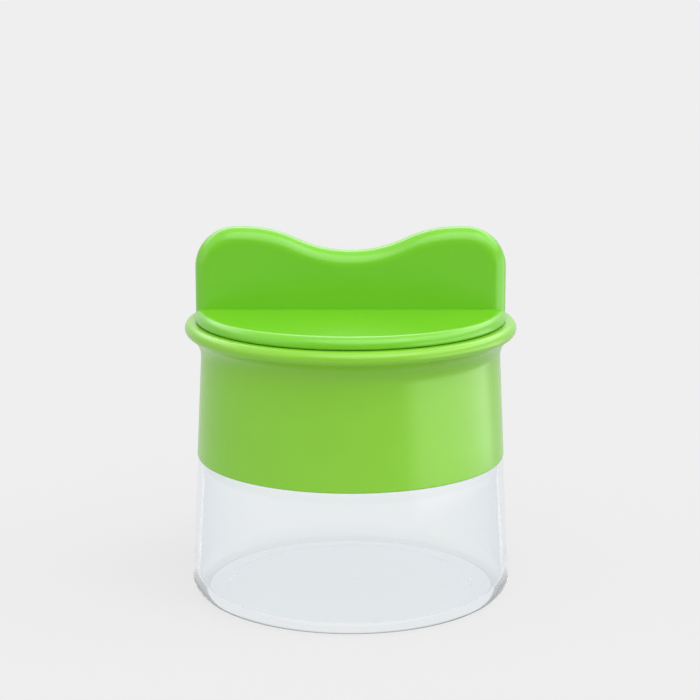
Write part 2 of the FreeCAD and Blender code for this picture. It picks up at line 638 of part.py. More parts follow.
def pieces():
    """Every piece, by the name of its node."""
    made = {
        "container": make_container(),
        "head_ring": make_head_ring(),
        "feed_sleeve": make_feed_sleeve(),
        "blade_platform": make_platform(),
        "slicing_blade": make_blade(),
        "centre_pin": make_centre_pin(),
        "grip_shell": make_grip_shell(),
        "tooth_ring": make_tooth_ring(),
        "holder_pin": make_holder_pin(),
    }
    for i, (x, y) in enumerate(rivet_places(), 1):
        made[f"blade_rivet_{i}"] = make_rivet(x, y)
    for i in range(PLATFORM_SCREWS):
        screw = make_screw(LEDGE_THICKNESS + SLEEVE_FOOT + PLATFORM_SCREW_BITE)
        degrees = platform_screw_start() + 360.0 * i / PLATFORM_SCREWS
        x, y = on_circle((0, 0), PLATFORM_SCREW_CIRCLE, degrees)
        screw.translate(Vector(x, y, LEDGE_BOTTOM))
        made[f"platform_screw_{i + 1}"] = screw
    for i, x in enumerate(HOLDER_SCREW_PLACES, 1):
        screw = make_screw(WEB_THICKNESS + WEB_REGISTER + HOLDER_SCREW_BITE)
        screw.translate(Vector(x, 0, WEB_BOTTOM))
        made[f"holder_screw_{i}"] = screw
    for i, degrees in enumerate(prong_angles(), 1):
        made[f"prong_{i}"] = make_prong(degrees)
    return made


def main():
    os.makedirs("parts", exist_ok=True)
    for name, shape in pieces().items():
        shape.exportStep(f"parts/{name}.step")
        size = shape.BoundBox
        print(f"{name:18s} valid {shape.isValid()}  solids {len(shape.Solids)}  "
              f"volume {shape.Volume:9.1f}  z {size.ZMin:7.2f} to {size.ZMax:7.2f}")


main()
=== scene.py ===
"""Looks of a hand-held spiral vegetable cutter, laid out as a Blender add-on.

The packed frame gives every piece its place. Each operator rebuilds one piece, or a group of like
pieces, as a finely rounded mesh with a procedural finish, and one sets the stage.
Lengths are in metres, +Z is up, and the tool's axis is the Z axis.
"""

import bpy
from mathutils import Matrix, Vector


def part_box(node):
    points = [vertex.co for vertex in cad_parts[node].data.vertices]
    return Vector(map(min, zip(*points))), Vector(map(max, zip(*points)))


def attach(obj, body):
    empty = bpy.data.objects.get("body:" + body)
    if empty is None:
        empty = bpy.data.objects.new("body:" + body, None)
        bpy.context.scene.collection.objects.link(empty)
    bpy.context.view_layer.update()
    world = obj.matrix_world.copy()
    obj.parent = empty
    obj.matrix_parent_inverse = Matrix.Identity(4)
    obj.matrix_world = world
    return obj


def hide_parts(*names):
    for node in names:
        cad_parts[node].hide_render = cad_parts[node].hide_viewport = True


bl_info = {
    "name": "Spiral Cutter Looks",
    "version": (1, 0, 0),
    "blender": (4, 5, 0),
    "location": "3D View > Sidebar > Spiral Cutter",
    "description": "Builds the visible pieces of a spiral vegetable cutter around its packed frame",
    "category": "Object",
}

import math

import bmesh
import bpy
from bpy.props import FloatProperty, FloatVectorProperty, IntProperty, PointerProperty
from mathutils import Matrix, Vector

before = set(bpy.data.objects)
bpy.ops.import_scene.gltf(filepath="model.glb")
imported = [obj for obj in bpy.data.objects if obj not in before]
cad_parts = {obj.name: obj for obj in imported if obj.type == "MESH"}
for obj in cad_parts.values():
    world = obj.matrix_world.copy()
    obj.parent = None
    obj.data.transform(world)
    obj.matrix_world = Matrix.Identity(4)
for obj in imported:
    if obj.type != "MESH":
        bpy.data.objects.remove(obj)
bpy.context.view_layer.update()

SIDES = 256              # round a large turned piece
SMALL_SIDES = 48         # round a pin or a screw
TURN_STEP = 15.0         # degrees that one facet of an edge rounding spans
ARC_STEP = 4.0           # the same for a large arc
CORNER_STEP = 5.0        # the same for the grip's upper corners
LOBE_STEP = 1.5          # the same for the grip's lobes and the hollow between them
EDGE_FACETS = 3          # across the rounded edge of a plate or a box
GRIP_FACETS = 9          # across the rounded edge of the grip, on each side
GRIP_ROWS = 6            # rows of faces up each end of the grip
SUPPORT = 0.00015        # length of the narrow flat that borders each edge rounding
THREAD_ROW = 0.0002      # height of one row of faces where a thread stands on a wall
CREASE = math.radians(32)    # an edge that bends more than this stays sharp
FLAT = math.radians(0.05)    # an edge that bends less than this lies in one flat face
LEVEL = 0.9999           # a face is level when its normal points up or down by more than this
TINY = 1e-7              # a length that counts as none
WELD = 2e-6              # how close two points must be to become one after a join or a cut
MOST_TURNS = 4           # how often the cup's wall may turn a ray


# ---------------------------------------------------------------- sizes and colours


def size(name, description, millimetres):
    """A length in metres whose default is written in millimetres."""
    return FloatProperty(
        name=name,
        description=description,
        default=millimetres / 1000,
        min=0.0,
        precision=5,
        subtype="DISTANCE",
        unit="LENGTH",
    )


def turn(name, description, degrees):
    return FloatProperty(
        name=name,
        description=description,
        default=math.radians(degrees),
        subtype="ANGLE",
        unit="ROTATION",
    )


def share(name, description, default):
    return FloatProperty(name=name, description=description, default=default, min=0.0)


def number(name, description, default):
    return IntProperty(name=name, description=description, default=default, min=1)


def colour(name, description, red, green, blue):
    """A colour whose default is written as the 0 to 255 values that a screen shows."""
    return FloatVectorProperty(
        name=name,
        description=description,
        default=[to_linear(part) for part in (red, green, blue)],
        subtype="COLOR",
        size=3,
        min=0.0,
        max=1.0,
    )


def to_linear(part):
    part = part / 255
    return part / 12.92 if part <= 0.04045 else ((part + 0.055) / 1.055) ** 2.4


class CupSizes(bpy.types.PropertyGroup):
    """Clear cup"""

    taper: size("Taper", "How much narrower the cup is at its shoulder", 1.9)
    neck_height: size("Neck height", "From the shoulder to the top of the neck", 8.0)
    neck_inset: size("Neck inset", "From the shoulder's edge in to the neck", 3.4)
    neck_wall: size("Neck wall", "Thickness of the neck", 1.8)
    neck_chamfer: size("Neck chamfer", "Bevel on the neck's outer edge", 0.6)
    wall: size("Wall", "Thickness of the cup's wall", 2.0)
    floor: size("Floor", "Thickness of the cup's floor", 2.2)
    corner: size("Corner", "Outer rounding between base and wall", 4.8)
    foot: size("Foot", "Width of the ring that the cup stands on", 5.0)
    punt: size("Punt", "How far the middle of the base is raised", 0.8)
    inner_shoulder: size("Inner shoulder", "Height of the slope from wall to neck, inside", 3.5)
    gate_radius: size("Gate mark", "Radius of the moulding mark under the base", 2.4)
    gate_depth: size("Gate depth", "Depth of the moulding mark", 0.25)
    edge: size("Edge", "Rounding of the cup's small edges", 0.35)
    # Painted shade round the cup's foot: the height and width of the dark band that stands in for the contact
    # shadow along the foot's edge.
    scuff: size("Scuff", "Height up to which the foot is fully scuffed", 0.3)
    foot_shade_top: size("Scuff top", "Height where the scuff ends, seen square on", 1.4)
    foot_shade_edge_top: size("Scuff edge top", "Height where the scuff ends, seen edge on", 2.4)


class ThreadSizes(bpy.types.PropertyGroup):
    """Thread"""

    lead: size("Lead", "How far the head rises in one turn", 9.0)
    starts: number("Starts", "Number of ribs in each thread", 3)
    span: turn("Span", "How far round each rib runs", 75)
    fade: turn("Fade", "How far round each end of a rib takes to rise", 7)
    depth: size("Depth", "How far a rib stands out of its wall", 1.3)
    root: size("Root", "Width of a rib at its wall", 1.6)
    crest: size("Crest", "Width of a rib at its crest", 0.8)
    rise: size("Rise", "From the shoulder to the lower end of the cup's ribs", 3.2)


class HeadSizes(bpy.types.PropertyGroup):
    """Head ring and feed sleeve"""

    lip_round: size("Lip round", "Rounding of the flared lip", 1.9)
    lip_reach: size("Lip reach", "From the waist out to the middle of the lip", 2.35)
    lip_width: size("Lip width", "From the middle of the lip in to its inner edge", 3.0)
    lip_inner_round: size("Inner round", "Rounding of the lip's inner edge", 0.9)
    flare: size("Flare", "Hollow rounding under the lip", 7.0)
    taper: size("Taper", "How much wider the ring is at its lower edge", 1.35)
    wall: size("Wall", "Thickness at the lower edge", 1.8)
    waist_wall: size("Waist wall", "Thickness at the waist", 1.45)
    ledge: size("Ledge", "Thickness of the inner ledge", 1.5)
    edge: size("Edge", "Rounding of the ring's small edges", 0.3)
    sleeve_wall: size("Sleeve wall", "Thickness of the feed sleeve", 1.2)
    sleeve_foot: size("Sleeve foot", "Thickness of the sleeve's foot", 2.0)
    sleeve_flange: size("Sleeve flange", "Thickness of the sleeve's flange", 1.4)
    sleeve_edge: size("Sleeve edge", "Rounding of the sleeve's edges", 0.25)


class CutterSizes(bpy.types.PropertyGroup):
    """Blade platform and blade"""

    thickness: size("Platform", "Thickness of the blade platform", 3.0)
    hub_radius: size("Hub", "Radius of the hub", 5.0)
    hub_edge: size("Hub edge", "Rounding of the hub and the platform", 0.4)
    bore: size("Bore", "Radius of the centre pin's bore", 1.55)
    slot_margin: size("Slot margin", "From the slot's ends to the hub and the ledge", 0.7)
    slot_front: size("Slot front", "From the blade's line to the slot's front edge", 5.2)
    slot_back: size("Slot back", "From the blade's line to the slot's back edge", 1.0)
    slot_corner: size("Slot corner", "Rounding of the slot's corners", 0.8)
    blade_width: size("Blade width", "Width of the blade", 11.0)
    blade_thickness: size("Blade thickness", "Thickness of the blade", 0.6)
    blade_bevel: size("Blade bevel", "Width of the ground edge", 2.2)
    blade_corner: size("Blade corner", "Rounding of the blade's back corners", 1.0)
    blade_edge: size("Blade edges", "Rounding of the blade's unground edges", 0.05)
    blade_tilt: turn("Blade tilt", "Slope of the blade", 11)
    blade_lift: size("Blade lift", "Cutting edge above the platform", 2.2)
    blade_overhang: size("Blade overhang", "From the blade's line to its cutting edge", 2.6)
    blade_end_margin: size("Blade end", "How far the blade runs on past the ledge", 1.6)
    rivet_from_back: size("Rivet place", "From the blade's back edge to its rivets", 3.4)


class FixingSizes(bpy.types.PropertyGroup):
    """Pins, prongs, screws and rivets"""

    pin_radius: size("Pin", "Radius of the two pins on the axis", 1.5)
    pin_head: size("Pin head", "Height of a pin's head", 1.0)
    pin_point: size("Pin point", "Length of a pin's point", 3.5)
    prong_radius: size("Prong", "Radius of a prong", 0.9)
    prong_head: size("Prong head", "Height of a prong's head", 0.8)
    prong_point: size("Prong point", "Length of a prong's point", 2.6)
    tip: size("Tip", "Rounding at the tip of a pin or prong", 0.12)
    screw_radius: size("Screw", "Radius of a screw", 1.1)
    screw_head: size("Screw head", "Height of a screw's head", 1.2)
    screw_head_round: size("Screw head round", "Rounding of a screw's head", 0.66)
    screw_edge: size("Screw edge", "Rounding of the rim of a screw's head", 0.12)
    screw_point: size("Screw point", "Length of a screw's point", 0.8)
    screw_point_edge: size("Point edge", "Rounding at both ends of a screw's point", 0.08)
    recess_depth: size("Recess depth", "Depth of the crossed recess", 0.7)
    recess_width: size("Recess width", "Width of the crossed recess", 0.6)
    recess_span: size("Recess span", "Length of the crossed recess", 2.5)
    recess_taper: share("Recess taper", "Width at the recess's foot, as a share of its mouth", 0.6)
    recess_edge: size("Recess edge", "Rounding of the recess's edges", 0.05)
    recess_turn: turn("Recess turn", "How far round the first screw of a kind was driven", 11)
    recess_step: turn("Recess step", "How much further round each next screw was driven", 37)
    rivet_radius: size("Rivet", "Radius of a rivet's shank", 1.0)
    rivet_length: size("Rivet length", "How far a rivet reaches below the blade", 2.4)
    rivet_head_radius: size("Rivet head", "Radius of a rivet's head", 2.0)
    rivet_head: size("Rivet height", "Height of a rivet's domed head", 0.5)
    rivet_rim: size("Rivet rim", "Height of the upright rim round a rivet's head", 0.12)


class HolderSizes(bpy.types.PropertyGroup):
    """Grip and tooth ring"""

    disc: size("Disc", "Thickness of the disc", 3.2)
    top_round: size("Top round", "Rounding of the disc's upper edge", 2.3)
    bottom_round: size("Bottom round", "Rounding of the disc's lower edge", 0.6)
    grip: size("Grip", "Thickness of the grip", 8.4)
    crest: size("Crest", "Flat left along the grip's rounded edge", 0.4)
    dip: size("Dip", "Height of the grip's middle above the disc", 15.5)
    lobe_inset: size("Lobe inset", "From the disc's edge to the top of each lobe", 13.1)
    corner: size("Corner", "Rounding of the grip's upper corners", 11.0)
    end_gap: size("End gap", "From the disc's edge in to the grip's ends", 0.1)
    register: size("Register", "Depth of the disc's recess for the tooth ring", 0.8)
    skirt_wall: size("Skirt wall", "Thickness of the skirt", 1.5)
    web: size("Web", "Thickness of the web below the disc", 1.8)
    ribs: number("Ribs", "Number of ribs round the skirt", 24)
    rib_width: size("Rib width", "Width of a rib", 1.1)
    rib_proud: size("Rib depth", "How far a rib stands out of the skirt", 0.45)
    rib_shorter: size("Rib rise", "How far a rib stops above the skirt's lower edge", 0.7)
    teeth: number("Teeth", "Number of saw teeth", 8)
    tooth_circle: size("Tooth circle", "From the axis to the middle of a tooth", 24.0)
    tooth_thickness: size("Tooth thickness", "Radial thickness of a tooth", 1.6)
    tooth_tip_thickness: size("Tip thickness", "Radial thickness at a tooth's tip", 0.7)
    tooth_width: size("Tooth width", "Width of a tooth", 3.7)
    tooth_tip_width: size("Tip width", "Width of a tooth's tip", 0.6)
    tooth_reach: size("Tooth reach", "From the skirt's lower edge to a tooth's tip", 5.6)
    edge: size("Edge", "Rounding of the tooth ring's edges", 0.25)
    rib_edge: size("Rib edge", "Rounding of a rib's edges", 0.15)
    tooth_edge: size("Tooth edge", "Rounding of a tooth's edges", 0.125)


class Colours(bpy.types.PropertyGroup):
    """Colours"""

    grip: colour("Grip green", "Plastic of the holder", 110, 189, 34)
    head: colour("Head green", "Plastic of the head", 127, 192, 46)
    # Painted light: about the holder's green, made paler than first set to make up for the shade that the
    # disc casts on the skirt.
    tooth_ring: colour("Deep green", "Plastic of the tooth ring", 106, 194, 32)
    # Painted light: a much paler copy of the head's green, which makes the shaded inside of the head show as
    # bright as a lit one.
    sleeve: colour("Sleeve green", "Plastic of the feed sleeve", 158, 236, 82)
    clear: colour("Clear", "Tint of the cup", 251, 253, 254)
    clear_edge: colour("Clear edge", "Tint of the cup where it is seen edge on", 222, 229, 238)
    # Painted shade: the dark grey of the band round the cup's foot, which stands in for the contact shadow
    # and the dark refraction along the foot's edge.
    scuff: colour("Scuff", "Scuffed plastic round the cup's foot", 72, 74, 78)
    steel: colour("Steel", "Pins, prongs, rivets and screws", 202, 202, 200)
    blade: colour("Blade", "Ground steel of the blade", 174, 175, 176)
    floor: colour("Floor", "The floor where the light falls on it", 202, 202, 202)
    backdrop: colour("Backdrop", "The pale background", 240, 240, 240)
    dark_side: colour("Dark side", "The unlit front of the room, in reflections", 110, 110, 110)


class FinishSizes(bpy.types.PropertyGroup):
    """Finishes"""

    grip_rough: share("Grip roughness", "Roughness of the holder's plastic", 0.25)
    head_rough: share("Head roughness", "Roughness of the head's plastic", 0.25)
    tooth_ring_rough: share("Ring roughness", "Roughness of the tooth ring's plastic", 0.34)
    sleeve_rough: share("Sleeve roughness", "Roughness of the feed sleeve's plastic", 0.3)
    flow_grain: size("Flow grain", "How coarse the flow marks in the green plastic are", 18)
    flow_stretch: share("Flow stretch", "How much finer they are upwards than sideways", 2.4)
    flow_tone: share("Flow tone", "How far they lighten and darken the plastic", 0.035)
    haze_grain: size("Haze grain", "How coarse the patches of handling haze are", 9)
    haze: share("Haze", "How much the roughness differs between those patches", 0.07)
    sink_grain: size("Sink grain", "How coarse the slight sink of the plastic is", 14)
    sink_depth: size("Sink depth", "Depth of that sink", 0.02)
    ripple_grain: size("Ripple grain", "How coarse the ripple in the clear wall is", 11)
    ripple_stretch: share("Ripple stretch", "How much finer it is upwards than sideways", 0.35)
    ripple_depth: size("Ripple depth", "Depth of that ripple", 0.012)
    clear_rough: share("Clear roughness", "Least roughness of the clear plastic", 0.01)
    clear_haze_grain: size("Clear haze grain", "How coarse its haze is", 4)
    clear_haze: share("Clear haze", "Roughness that its haze adds", 0.03)
    # The painted shade band round the cup's foot: the roughness it adds, and how much of its dark grey shows,
    # more where the wall is seen edge on.
    foot_shade_rough: share("Scuff roughness", "Roughness that the scuff adds", 0.2)
    foot_shade_faint: share("Faint scuff", "How much of the scuff shows where it is seen square on", 0.12)
    foot_shade_from: share("Scuff from", "How far edge on the wall is where more scuff starts to show", 0.35)
    foot_shade_full: share("Scuff full", "How far edge on the wall is where all the scuff shows", 0.65)
    turned_grain: size("Turned grain", "How coarse the marks round the turned steel are", 0.9)
    turned_depth: size("Turned depth", "Depth of those marks", 0.006)
    turned_rough: share("Turned roughness", "Least roughness of the turned steel", 0.14)
    turned_marks: share("Turned marks", "Roughness that its marks add", 0.12)
    cloud_grain: size("Cloud grain", "How coarse its differences in polish are", 2.2)
    cloud_rough: share("Cloud roughness", "Roughness that they add", 0.1)
    brushed_grain: size("Brushed grain", "How coarse the brush marks along the blade are", 1.0)
    ground_grain: size("Ground grain", "How coarse the grinding marks across its edge are", 0.8)
    blade_depth: size("Blade mark depth", "Depth of the blade's marks", 0.009)
    blade_rough: share("Blade roughness", "Least roughness of the blade's sides", 0.2)
    blade_marks: share("Blade marks", "Roughness that the blade's marks add", 0.16)
    blade_polish: share("Edge polish", "How much smoother the ground edge is than the sides", 0.08)
    floor_grain: size("Floor grain", "How coarse the very faint marks on the floor are", 60)


class StageSizes(bpy.types.PropertyGroup):
    """Stage"""

    distance: size("Distance", "From the tool's axis to the camera", 548.4)
    height: size("Height", "Camera above the floor", 186.2)
    aside: size("Aside", "Camera to the left of the axis", 0.16)
    tilt: turn("Tilt", "Camera's slope below the horizon", 12.242)
    lens: FloatProperty(name="Lens", description="Focal length", default=105.73, unit="CAMERA", min=1.0)
    floor_size: size("Floor", "Side of the square floor", 16000)
    floor_drop: size("Floor drop", "How far the floor lies below the cup's foot", 0.1)
    room_light: share("Room light", "Strength of the even light from all round", 0.50)
    key_light: share("Key light", "Strength of the light from the front and above", 1.75)
    above_light: share("Light above", "Strength of the light from above", 0.4)
    side_light: share("Side light", "Strength of the light from the right", 1.05)
    fill_light: share("Fill light", "Strength of the light from the left", 0.5)
    right_panel: share("Right panel", "Brightness of the panel on the right, in reflections", 2.9)
    back_strip: share("Back strip", "Brightness of the strip up at the back, in reflections", 3.0)
    floor_glow: share("Floor glow", "How much of the floor seen straight is lit by itself", 0.8)
    floor_glow_through: share("Glow through", "The same for the floor seen through the cup", 0.95)


# ---------------------------------------------------------------- outlines


def on_circle(centre, radius, degrees):
    """The point at that angle on a circle."""
    angle = math.radians(degrees)
    return (centre[0] + radius * math.cos(angle), centre[1] + radius * math.sin(angle))


def angle_to(centre, point):
    return math.degrees(math.atan2(point[1] - centre[1], point[0] - centre[0]))


def tangent_angle(point, centre, radius, side):
    """Angle on the circle where a straight line from point touches it, on the side +1 or -1."""
    distance = math.dist(point, centre)
    return angle_to(centre, point) + side * math.degrees(math.acos(radius / distance))


def arc(centre, radius, first, last, step=ARC_STEP):
    """Points on a circle from one angle to another, in degrees."""
    count = max(2, math.ceil(abs(last - first) / step))
    return [on_circle(centre, radius, first + (last - first) * i / count) for i in range(count + 1)]


def rows(radius, low, high):
    """Points up a straight wall that a thread stands on, both ends left out."""
    count = max(2, round(abs(high - low) / THREAD_ROW))
    return [(radius, low + (high - low) * i / count) for i in range(1, count)]


def rounded(*corners):
    """Points of an outline. A corner (x, y, rounding) becomes an arc with a narrow flat at each end."""
    points = []
    for i, corner in enumerate(corners):
        here = Vector(corner[:2])
        if len(corner) < 3:
            points.append(tuple(here))
            continue
        rounding = corner[2]
        back = Vector(corners[i - 1][:2]) - here
        ahead = Vector(corners[(i + 1) % len(corners)][:2]) - here
        bend = math.pi - back.angle(ahead)
        reach = rounding * math.tan(bend / 2)
        middle = back.normalized() + ahead.normalized()
        centre = here + middle.normalized() * rounding / math.cos(bend / 2)
        start = here + back.normalized() * reach - centre
        end = here + ahead.normalized() * reach - centre
        count = max(2, math.ceil(math.degrees(bend) / TURN_STEP))
        lead_in = min(SUPPORT, (back.length - reach) / 3)
        lead_out = min(SUPPORT, (ahead.length - reach) / 3)
        points.append(tuple(here + back.normalized() * (reach + lead_in)))
        for k in range(count + 1):
            blend = start * math.sin(bend * (1 - k / count)) + end * math.sin(bend * k / count)
            points.append(tuple(centre + blend / math.sin(bend)))
        points.append(tuple(here + ahead.normalized() * (reach + lead_out)))
    return [point for i, point in enumerate(points) if math.dist(point, points[i - 1]) > TINY]


def edge_round(rounding, facets):
    """Across a rounded edge, from the side to the flat: how far in from the side, and how far below the
    flat. It ends with a narrow strip of the flat."""
    turns = [math.pi / 2 * k / facets for k in range(facets + 1)]
    curve = [(rounding * (1 - math.cos(a)), rounding * (1 - math.sin(a))) for a in turns]
    return curve + [(rounding + SUPPORT, 0)]


def smooth_step(value, low, high):
    """Rises smoothly from 0 at low to 1 at high."""
    t = min(1.0, max(0.0, (value - low) / (high - low)))
    return t * t * (3 - 2 * t)


# ---------------------------------------------------------------- meshes


def linked(name, data):
    """A new object that holds a mesh, a lamp or a camera. One of that name from an earlier run goes."""
    old = bpy.data.objects.get(name)
    if old:
        bpy.data.objects.remove(old)
    made = bpy.data.objects.new(name, data)
    bpy.context.scene.collection.objects.link(made)
    return made


def from_shape(name, shape):
    """A new object that holds the edited shape."""
    mesh = bpy.data.meshes.new(name)
    shape.to_mesh(mesh)
    shape.free()
    return linked(name, mesh)


def closed_mesh(name, points, faces):
    """An object whose faces all look outwards."""
    shape = bmesh.new()
    corners = [shape.verts.new(point) for point in points]
    for face in faces:
        shape.faces.new([corners[i] for i in face])
    bmesh.ops.recalc_face_normals(shape, faces=shape.faces)
    return from_shape(name, shape)


def skinned(rings, closed=False):
    """Faces between rings of as many points each. A ring of one repeated point is a tip. With closed,
    the last ring is joined to the first."""
    pairs = list(zip(rings, rings[1:]))
    if closed:
        pairs.append((rings[-1], rings[0]))
    faces = []
    for lower, upper in pairs:
        for i in range(len(lower)):
            j = (i + 1) % len(lower)
            corners = (lower[i], lower[j], upper[j], upper[i])
            faces.append([c for k, c in enumerate(corners) if c not in corners[:k]])
    return faces


def lathe(name, outline, sides=SIDES, push=None):
    """A turned solid. push(angle, radius, height) adds to the radius, as for a thread."""
    points = []
    rings = []
    for radius, height in outline:
        if radius < TINY:
            rings.append([len(points)] * sides)
            points.append((0, 0, height))
            continue
        rings.append(range(len(points), len(points) + sides))
        for i in range(sides):
            angle = math.tau * i / sides
            reach = radius + (push(angle, radius, height) if push else 0)
            points.append((reach * math.cos(angle), reach * math.sin(angle), height))
    return closed_mesh(name, points, skinned(rings, outline[0][0] >= TINY))


def plate(name, rims, low, high, rounding):
    """A flat plate with rounded edges. A rim is a function of how far it is drawn out, and its side:
    -1 where the plate is inside it, +1 where it is a hole."""
    edge = edge_round(rounding, EDGE_FACETS)
    levels = [(low + rise, inset) for inset, rise in reversed(edge)]
    levels += [(high - drop, inset) for inset, drop in edge]
    shape = bmesh.new()
    caps = ([], [])
    for rim, side in rims:
        rings = [[shape.verts.new((x, y, z)) for x, y in rim(side * inset)] for z, inset in levels]
        for face in skinned(rings):
            shape.faces.new(face)
        for cap, ring in zip(caps, (rings[0], rings[-1])):
            cap.extend(shape.edges.get(pair) for pair in zip(ring, ring[1:] + ring[:1]))
    for cap in caps:
        bmesh.ops.triangle_fill(shape, edges=cap, use_beauty=True)
    inside_caps = [e for e in shape.edges if all(abs(f.normal.z) > LEVEL for f in e.link_faces)]
    bmesh.ops.dissolve_limit(shape, angle_limit=FLAT, verts=shape.verts, edges=inside_caps)
    bmesh.ops.recalc_face_normals(shape, faces=shape.faces)
    return from_shape(name, shape)


def prism(name, low, high, bevel, taper=None):
    """A box with rounded edges. taper(corner) moves each corner before the edges are rounded."""
    shape = bmesh.new()
    bmesh.ops.create_cube(shape, size=1)
    middle = (Vector(low) + Vector(high)) / 2
    sides = Vector(high) - Vector(low)
    for corner in shape.verts:
        corner.co = middle + Vector(a * b for a, b in zip(corner.co, sides))
        if taper:
            corner.co = taper(corner.co)
    edges = shape.edges[:]
    bmesh.ops.bevel(shape, geom=edges, offset=bevel, segments=EDGE_FACETS, profile=0.5, affect="EDGES")
    return from_shape(name, shape)


def settled(piece):
    """Applies a piece's modifiers to its mesh."""
    graph = bpy.context.evaluated_depsgraph_get()
    mesh = bpy.data.meshes.new_from_object(piece.evaluated_get(graph))
    piece.modifiers.clear()
    piece.data = mesh
    return piece


def combined(piece, others, operation="UNION"):
    """Joins other solids to a piece, or cuts them from it, and removes them."""
    for other in others:
        step = piece.modifiers.new("combine", "BOOLEAN")
        step.operation = operation
        step.solver = "EXACT"
        step.object = other
    settled(piece)
    for other in others:
        bpy.data.objects.remove(other)
    shape = bmesh.new()
    shape.from_mesh(piece.data)
    bmesh.ops.remove_doubles(shape, verts=shape.verts, dist=WELD)
    bmesh.ops.dissolve_degenerate(shape, edges=shape.edges, dist=WELD)
    shape.to_mesh(piece.data)
    shape.free()
    return piece


def bevelled(piece, width, least=30):
    """Rounds a piece's edges that bend by at least that many degrees."""
    step = piece.modifiers.new("edges", "BEVEL")
    step.width = width
    step.segments = 2
    step.limit_method = "ANGLE"
    step.angle_limit = math.radians(least)
    return settled(piece)


def turned_round(piece, degrees):
    """Turns a piece round the tool's axis."""
    piece.matrix_world = Matrix.Rotation(math.radians(degrees), 4, "Z")
    return piece


def one_mesh(name, pieces):
    """Copies of separate solids in one mesh, which a single cut or join can then use."""
    shape = bmesh.new()
    for piece in pieces:
        mesh = piece.data.copy()
        mesh.transform(piece.matrix_world)
        shape.from_mesh(mesh)
        bpy.data.objects.remove(piece)
    return from_shape(name, shape)


def smooth(piece, flats=False):
    """Shades a piece smoothly up to its creases. With flats, its large faces stay flat."""
    piece.data.shade_smooth()
    piece.data.set_sharp_from_angle(angle=CREASE)
    if flats:
        step = piece.modifiers.new("flats", "WEIGHTED_NORMAL")
        step.keep_sharp = True
        settled(piece)
    return piece


def fitted(piece, finish, slot, body, *nodes):
    """Gives a piece its finish, and ties it to the body and the nodes that it stands for."""
    piece.data.materials.clear()
    piece.data.materials.append(finish)
    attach(piece, body)
    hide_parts(*nodes)


# ---------------------------------------------------------------- finishes


class Wire:
    """A value in a node tree. Sums on it add Math nodes."""

    def __init__(self, tree, socket):
        self.tree = tree
        self.socket = socket

    def maths(self, operation, *values):
        node = self.tree.nodes.new("ShaderNodeMath")
        node.operation = operation
        for slot, value in zip(node.inputs, values):
            plug(self.tree, slot, value)
        return Wire(self.tree, node.outputs[0])

    def __add__(self, other):
        return self.maths("ADD", self, other)

    def __sub__(self, other):
        return self.maths("SUBTRACT", self, other)

    def __rsub__(self, other):
        return self.maths("SUBTRACT", other, self)

    def __mul__(self, other):
        return self.maths("MULTIPLY", self, other)

    __radd__ = __add__
    __rmul__ = __mul__


def plug(tree, slot, value):
    """Links a socket, or sets its value."""
    if isinstance(value, Wire):
        tree.links.new(value.socket, slot)
    elif slot.type == "RGBA" and len(value) == 3:
        slot.default_value = (*value, 1.0)
    else:
        slot.default_value = value


class Finish:
    """A node tree while it is laid out, for a material or the world."""

    def __init__(self, owner):
        owner.use_nodes = True
        self.owner = owner
        self.tree = owner.node_tree
        self.tree.nodes.clear()

    def add(self, kind, settings=None, values=None, output=0):
        """Adds a node of that type. Its settings come first, then its sockets' values or links."""
        node = self.tree.nodes.new("ShaderNode" + kind)
        for key, value in (settings or {}).items():
            setattr(node, key, value)
        for key, value in (values or {}).items():
            plug(self.tree, node.inputs[key], value)
        return Wire(self.tree, node.outputs[output]) if node.outputs else None

    def place(self):
        """Where on the piece a point is, in metres."""
        return self.add("TexCoord", output="Object")

    def noise(self, grain, detail, stretch=(1, 1, 1)):
        """Cloudy noise from 0 to 1, about as coarse as grain in metres, and finer where stretched."""
        where = self.add("Mapping", values={"Vector": self.place(), "Scale": Vector(stretch) / grain})
        return self.add("TexNoise", values={"Vector": where, "Scale": 1.0, "Detail": detail})

    def mix(self, factor, first, second):
        """From the first colour to the second."""
        return self.add("Mix", {"data_type": "RGBA"}, {0: factor, 6: first, 7: second}, output=2)

    def varied(self, hue, marks, darker, paler):
        """The hue, made darker by that share where there are no marks, and paler where there are."""
        return self.mix(marks, shade(hue, 1 - darker), shade(hue, 1 + paler))

    def ramp(self, value, low, high):
        """Rises smoothly from 0 where the value is low to 1 where it is high."""
        ends = {"Value": value, "From Min": low, "From Max": high}
        return self.add("MapRange", {"interpolation_type": "SMOOTHSTEP"}, ends)

    def clamped(self, value):
        return self.add("Clamp", values={"Value": value})

    def along(self, where, axis):
        """How far a place or direction reaches along the axis X, Y or Z."""
        return self.add("SeparateXYZ", values={"Vector": where}, output=axis)

    def length(self, where):
        return self.add("VectorMath", {"operation": "LENGTH"}, {0: where}, "Value")

    def pointing(self, where):
        """The direction to a place, of length 1."""
        return self.add("VectorMath", {"operation": "NORMALIZE"}, {0: where})

    def blend(self, factor, first, second):
        """From the first shader to the second."""
        return self.add("MixShader", values={0: factor, 1: first, 2: second})

    def ray(self, kind):
        """1 for the rays of that kind."""
        return self.add("LightPath", output=f"Is {kind} Ray")

    def bump(self, height, distance):
        return self.add("Bump", values={"Strength": 1.0, "Distance": distance, "Height": height})

    def surface(self, **values):
        """A Principled surface. An underscore in a name stands for a space."""
        return self.add("BsdfPrincipled", values={k.replace("_", " "): v for k, v in values.items()})

    def done(self, shader):
        self.add("OutputMaterial", values={"Surface": shader})
        return self.owner


def made_once(name, lay_out, *about):
    """The material of that name, laid out if it isn't there yet."""
    found = bpy.data.materials.get(name)
    return found or lay_out(Finish(bpy.data.materials.new(name)), *about)


def shade(hue, factor):
    return tuple(min(1.0, part * factor) for part in hue)


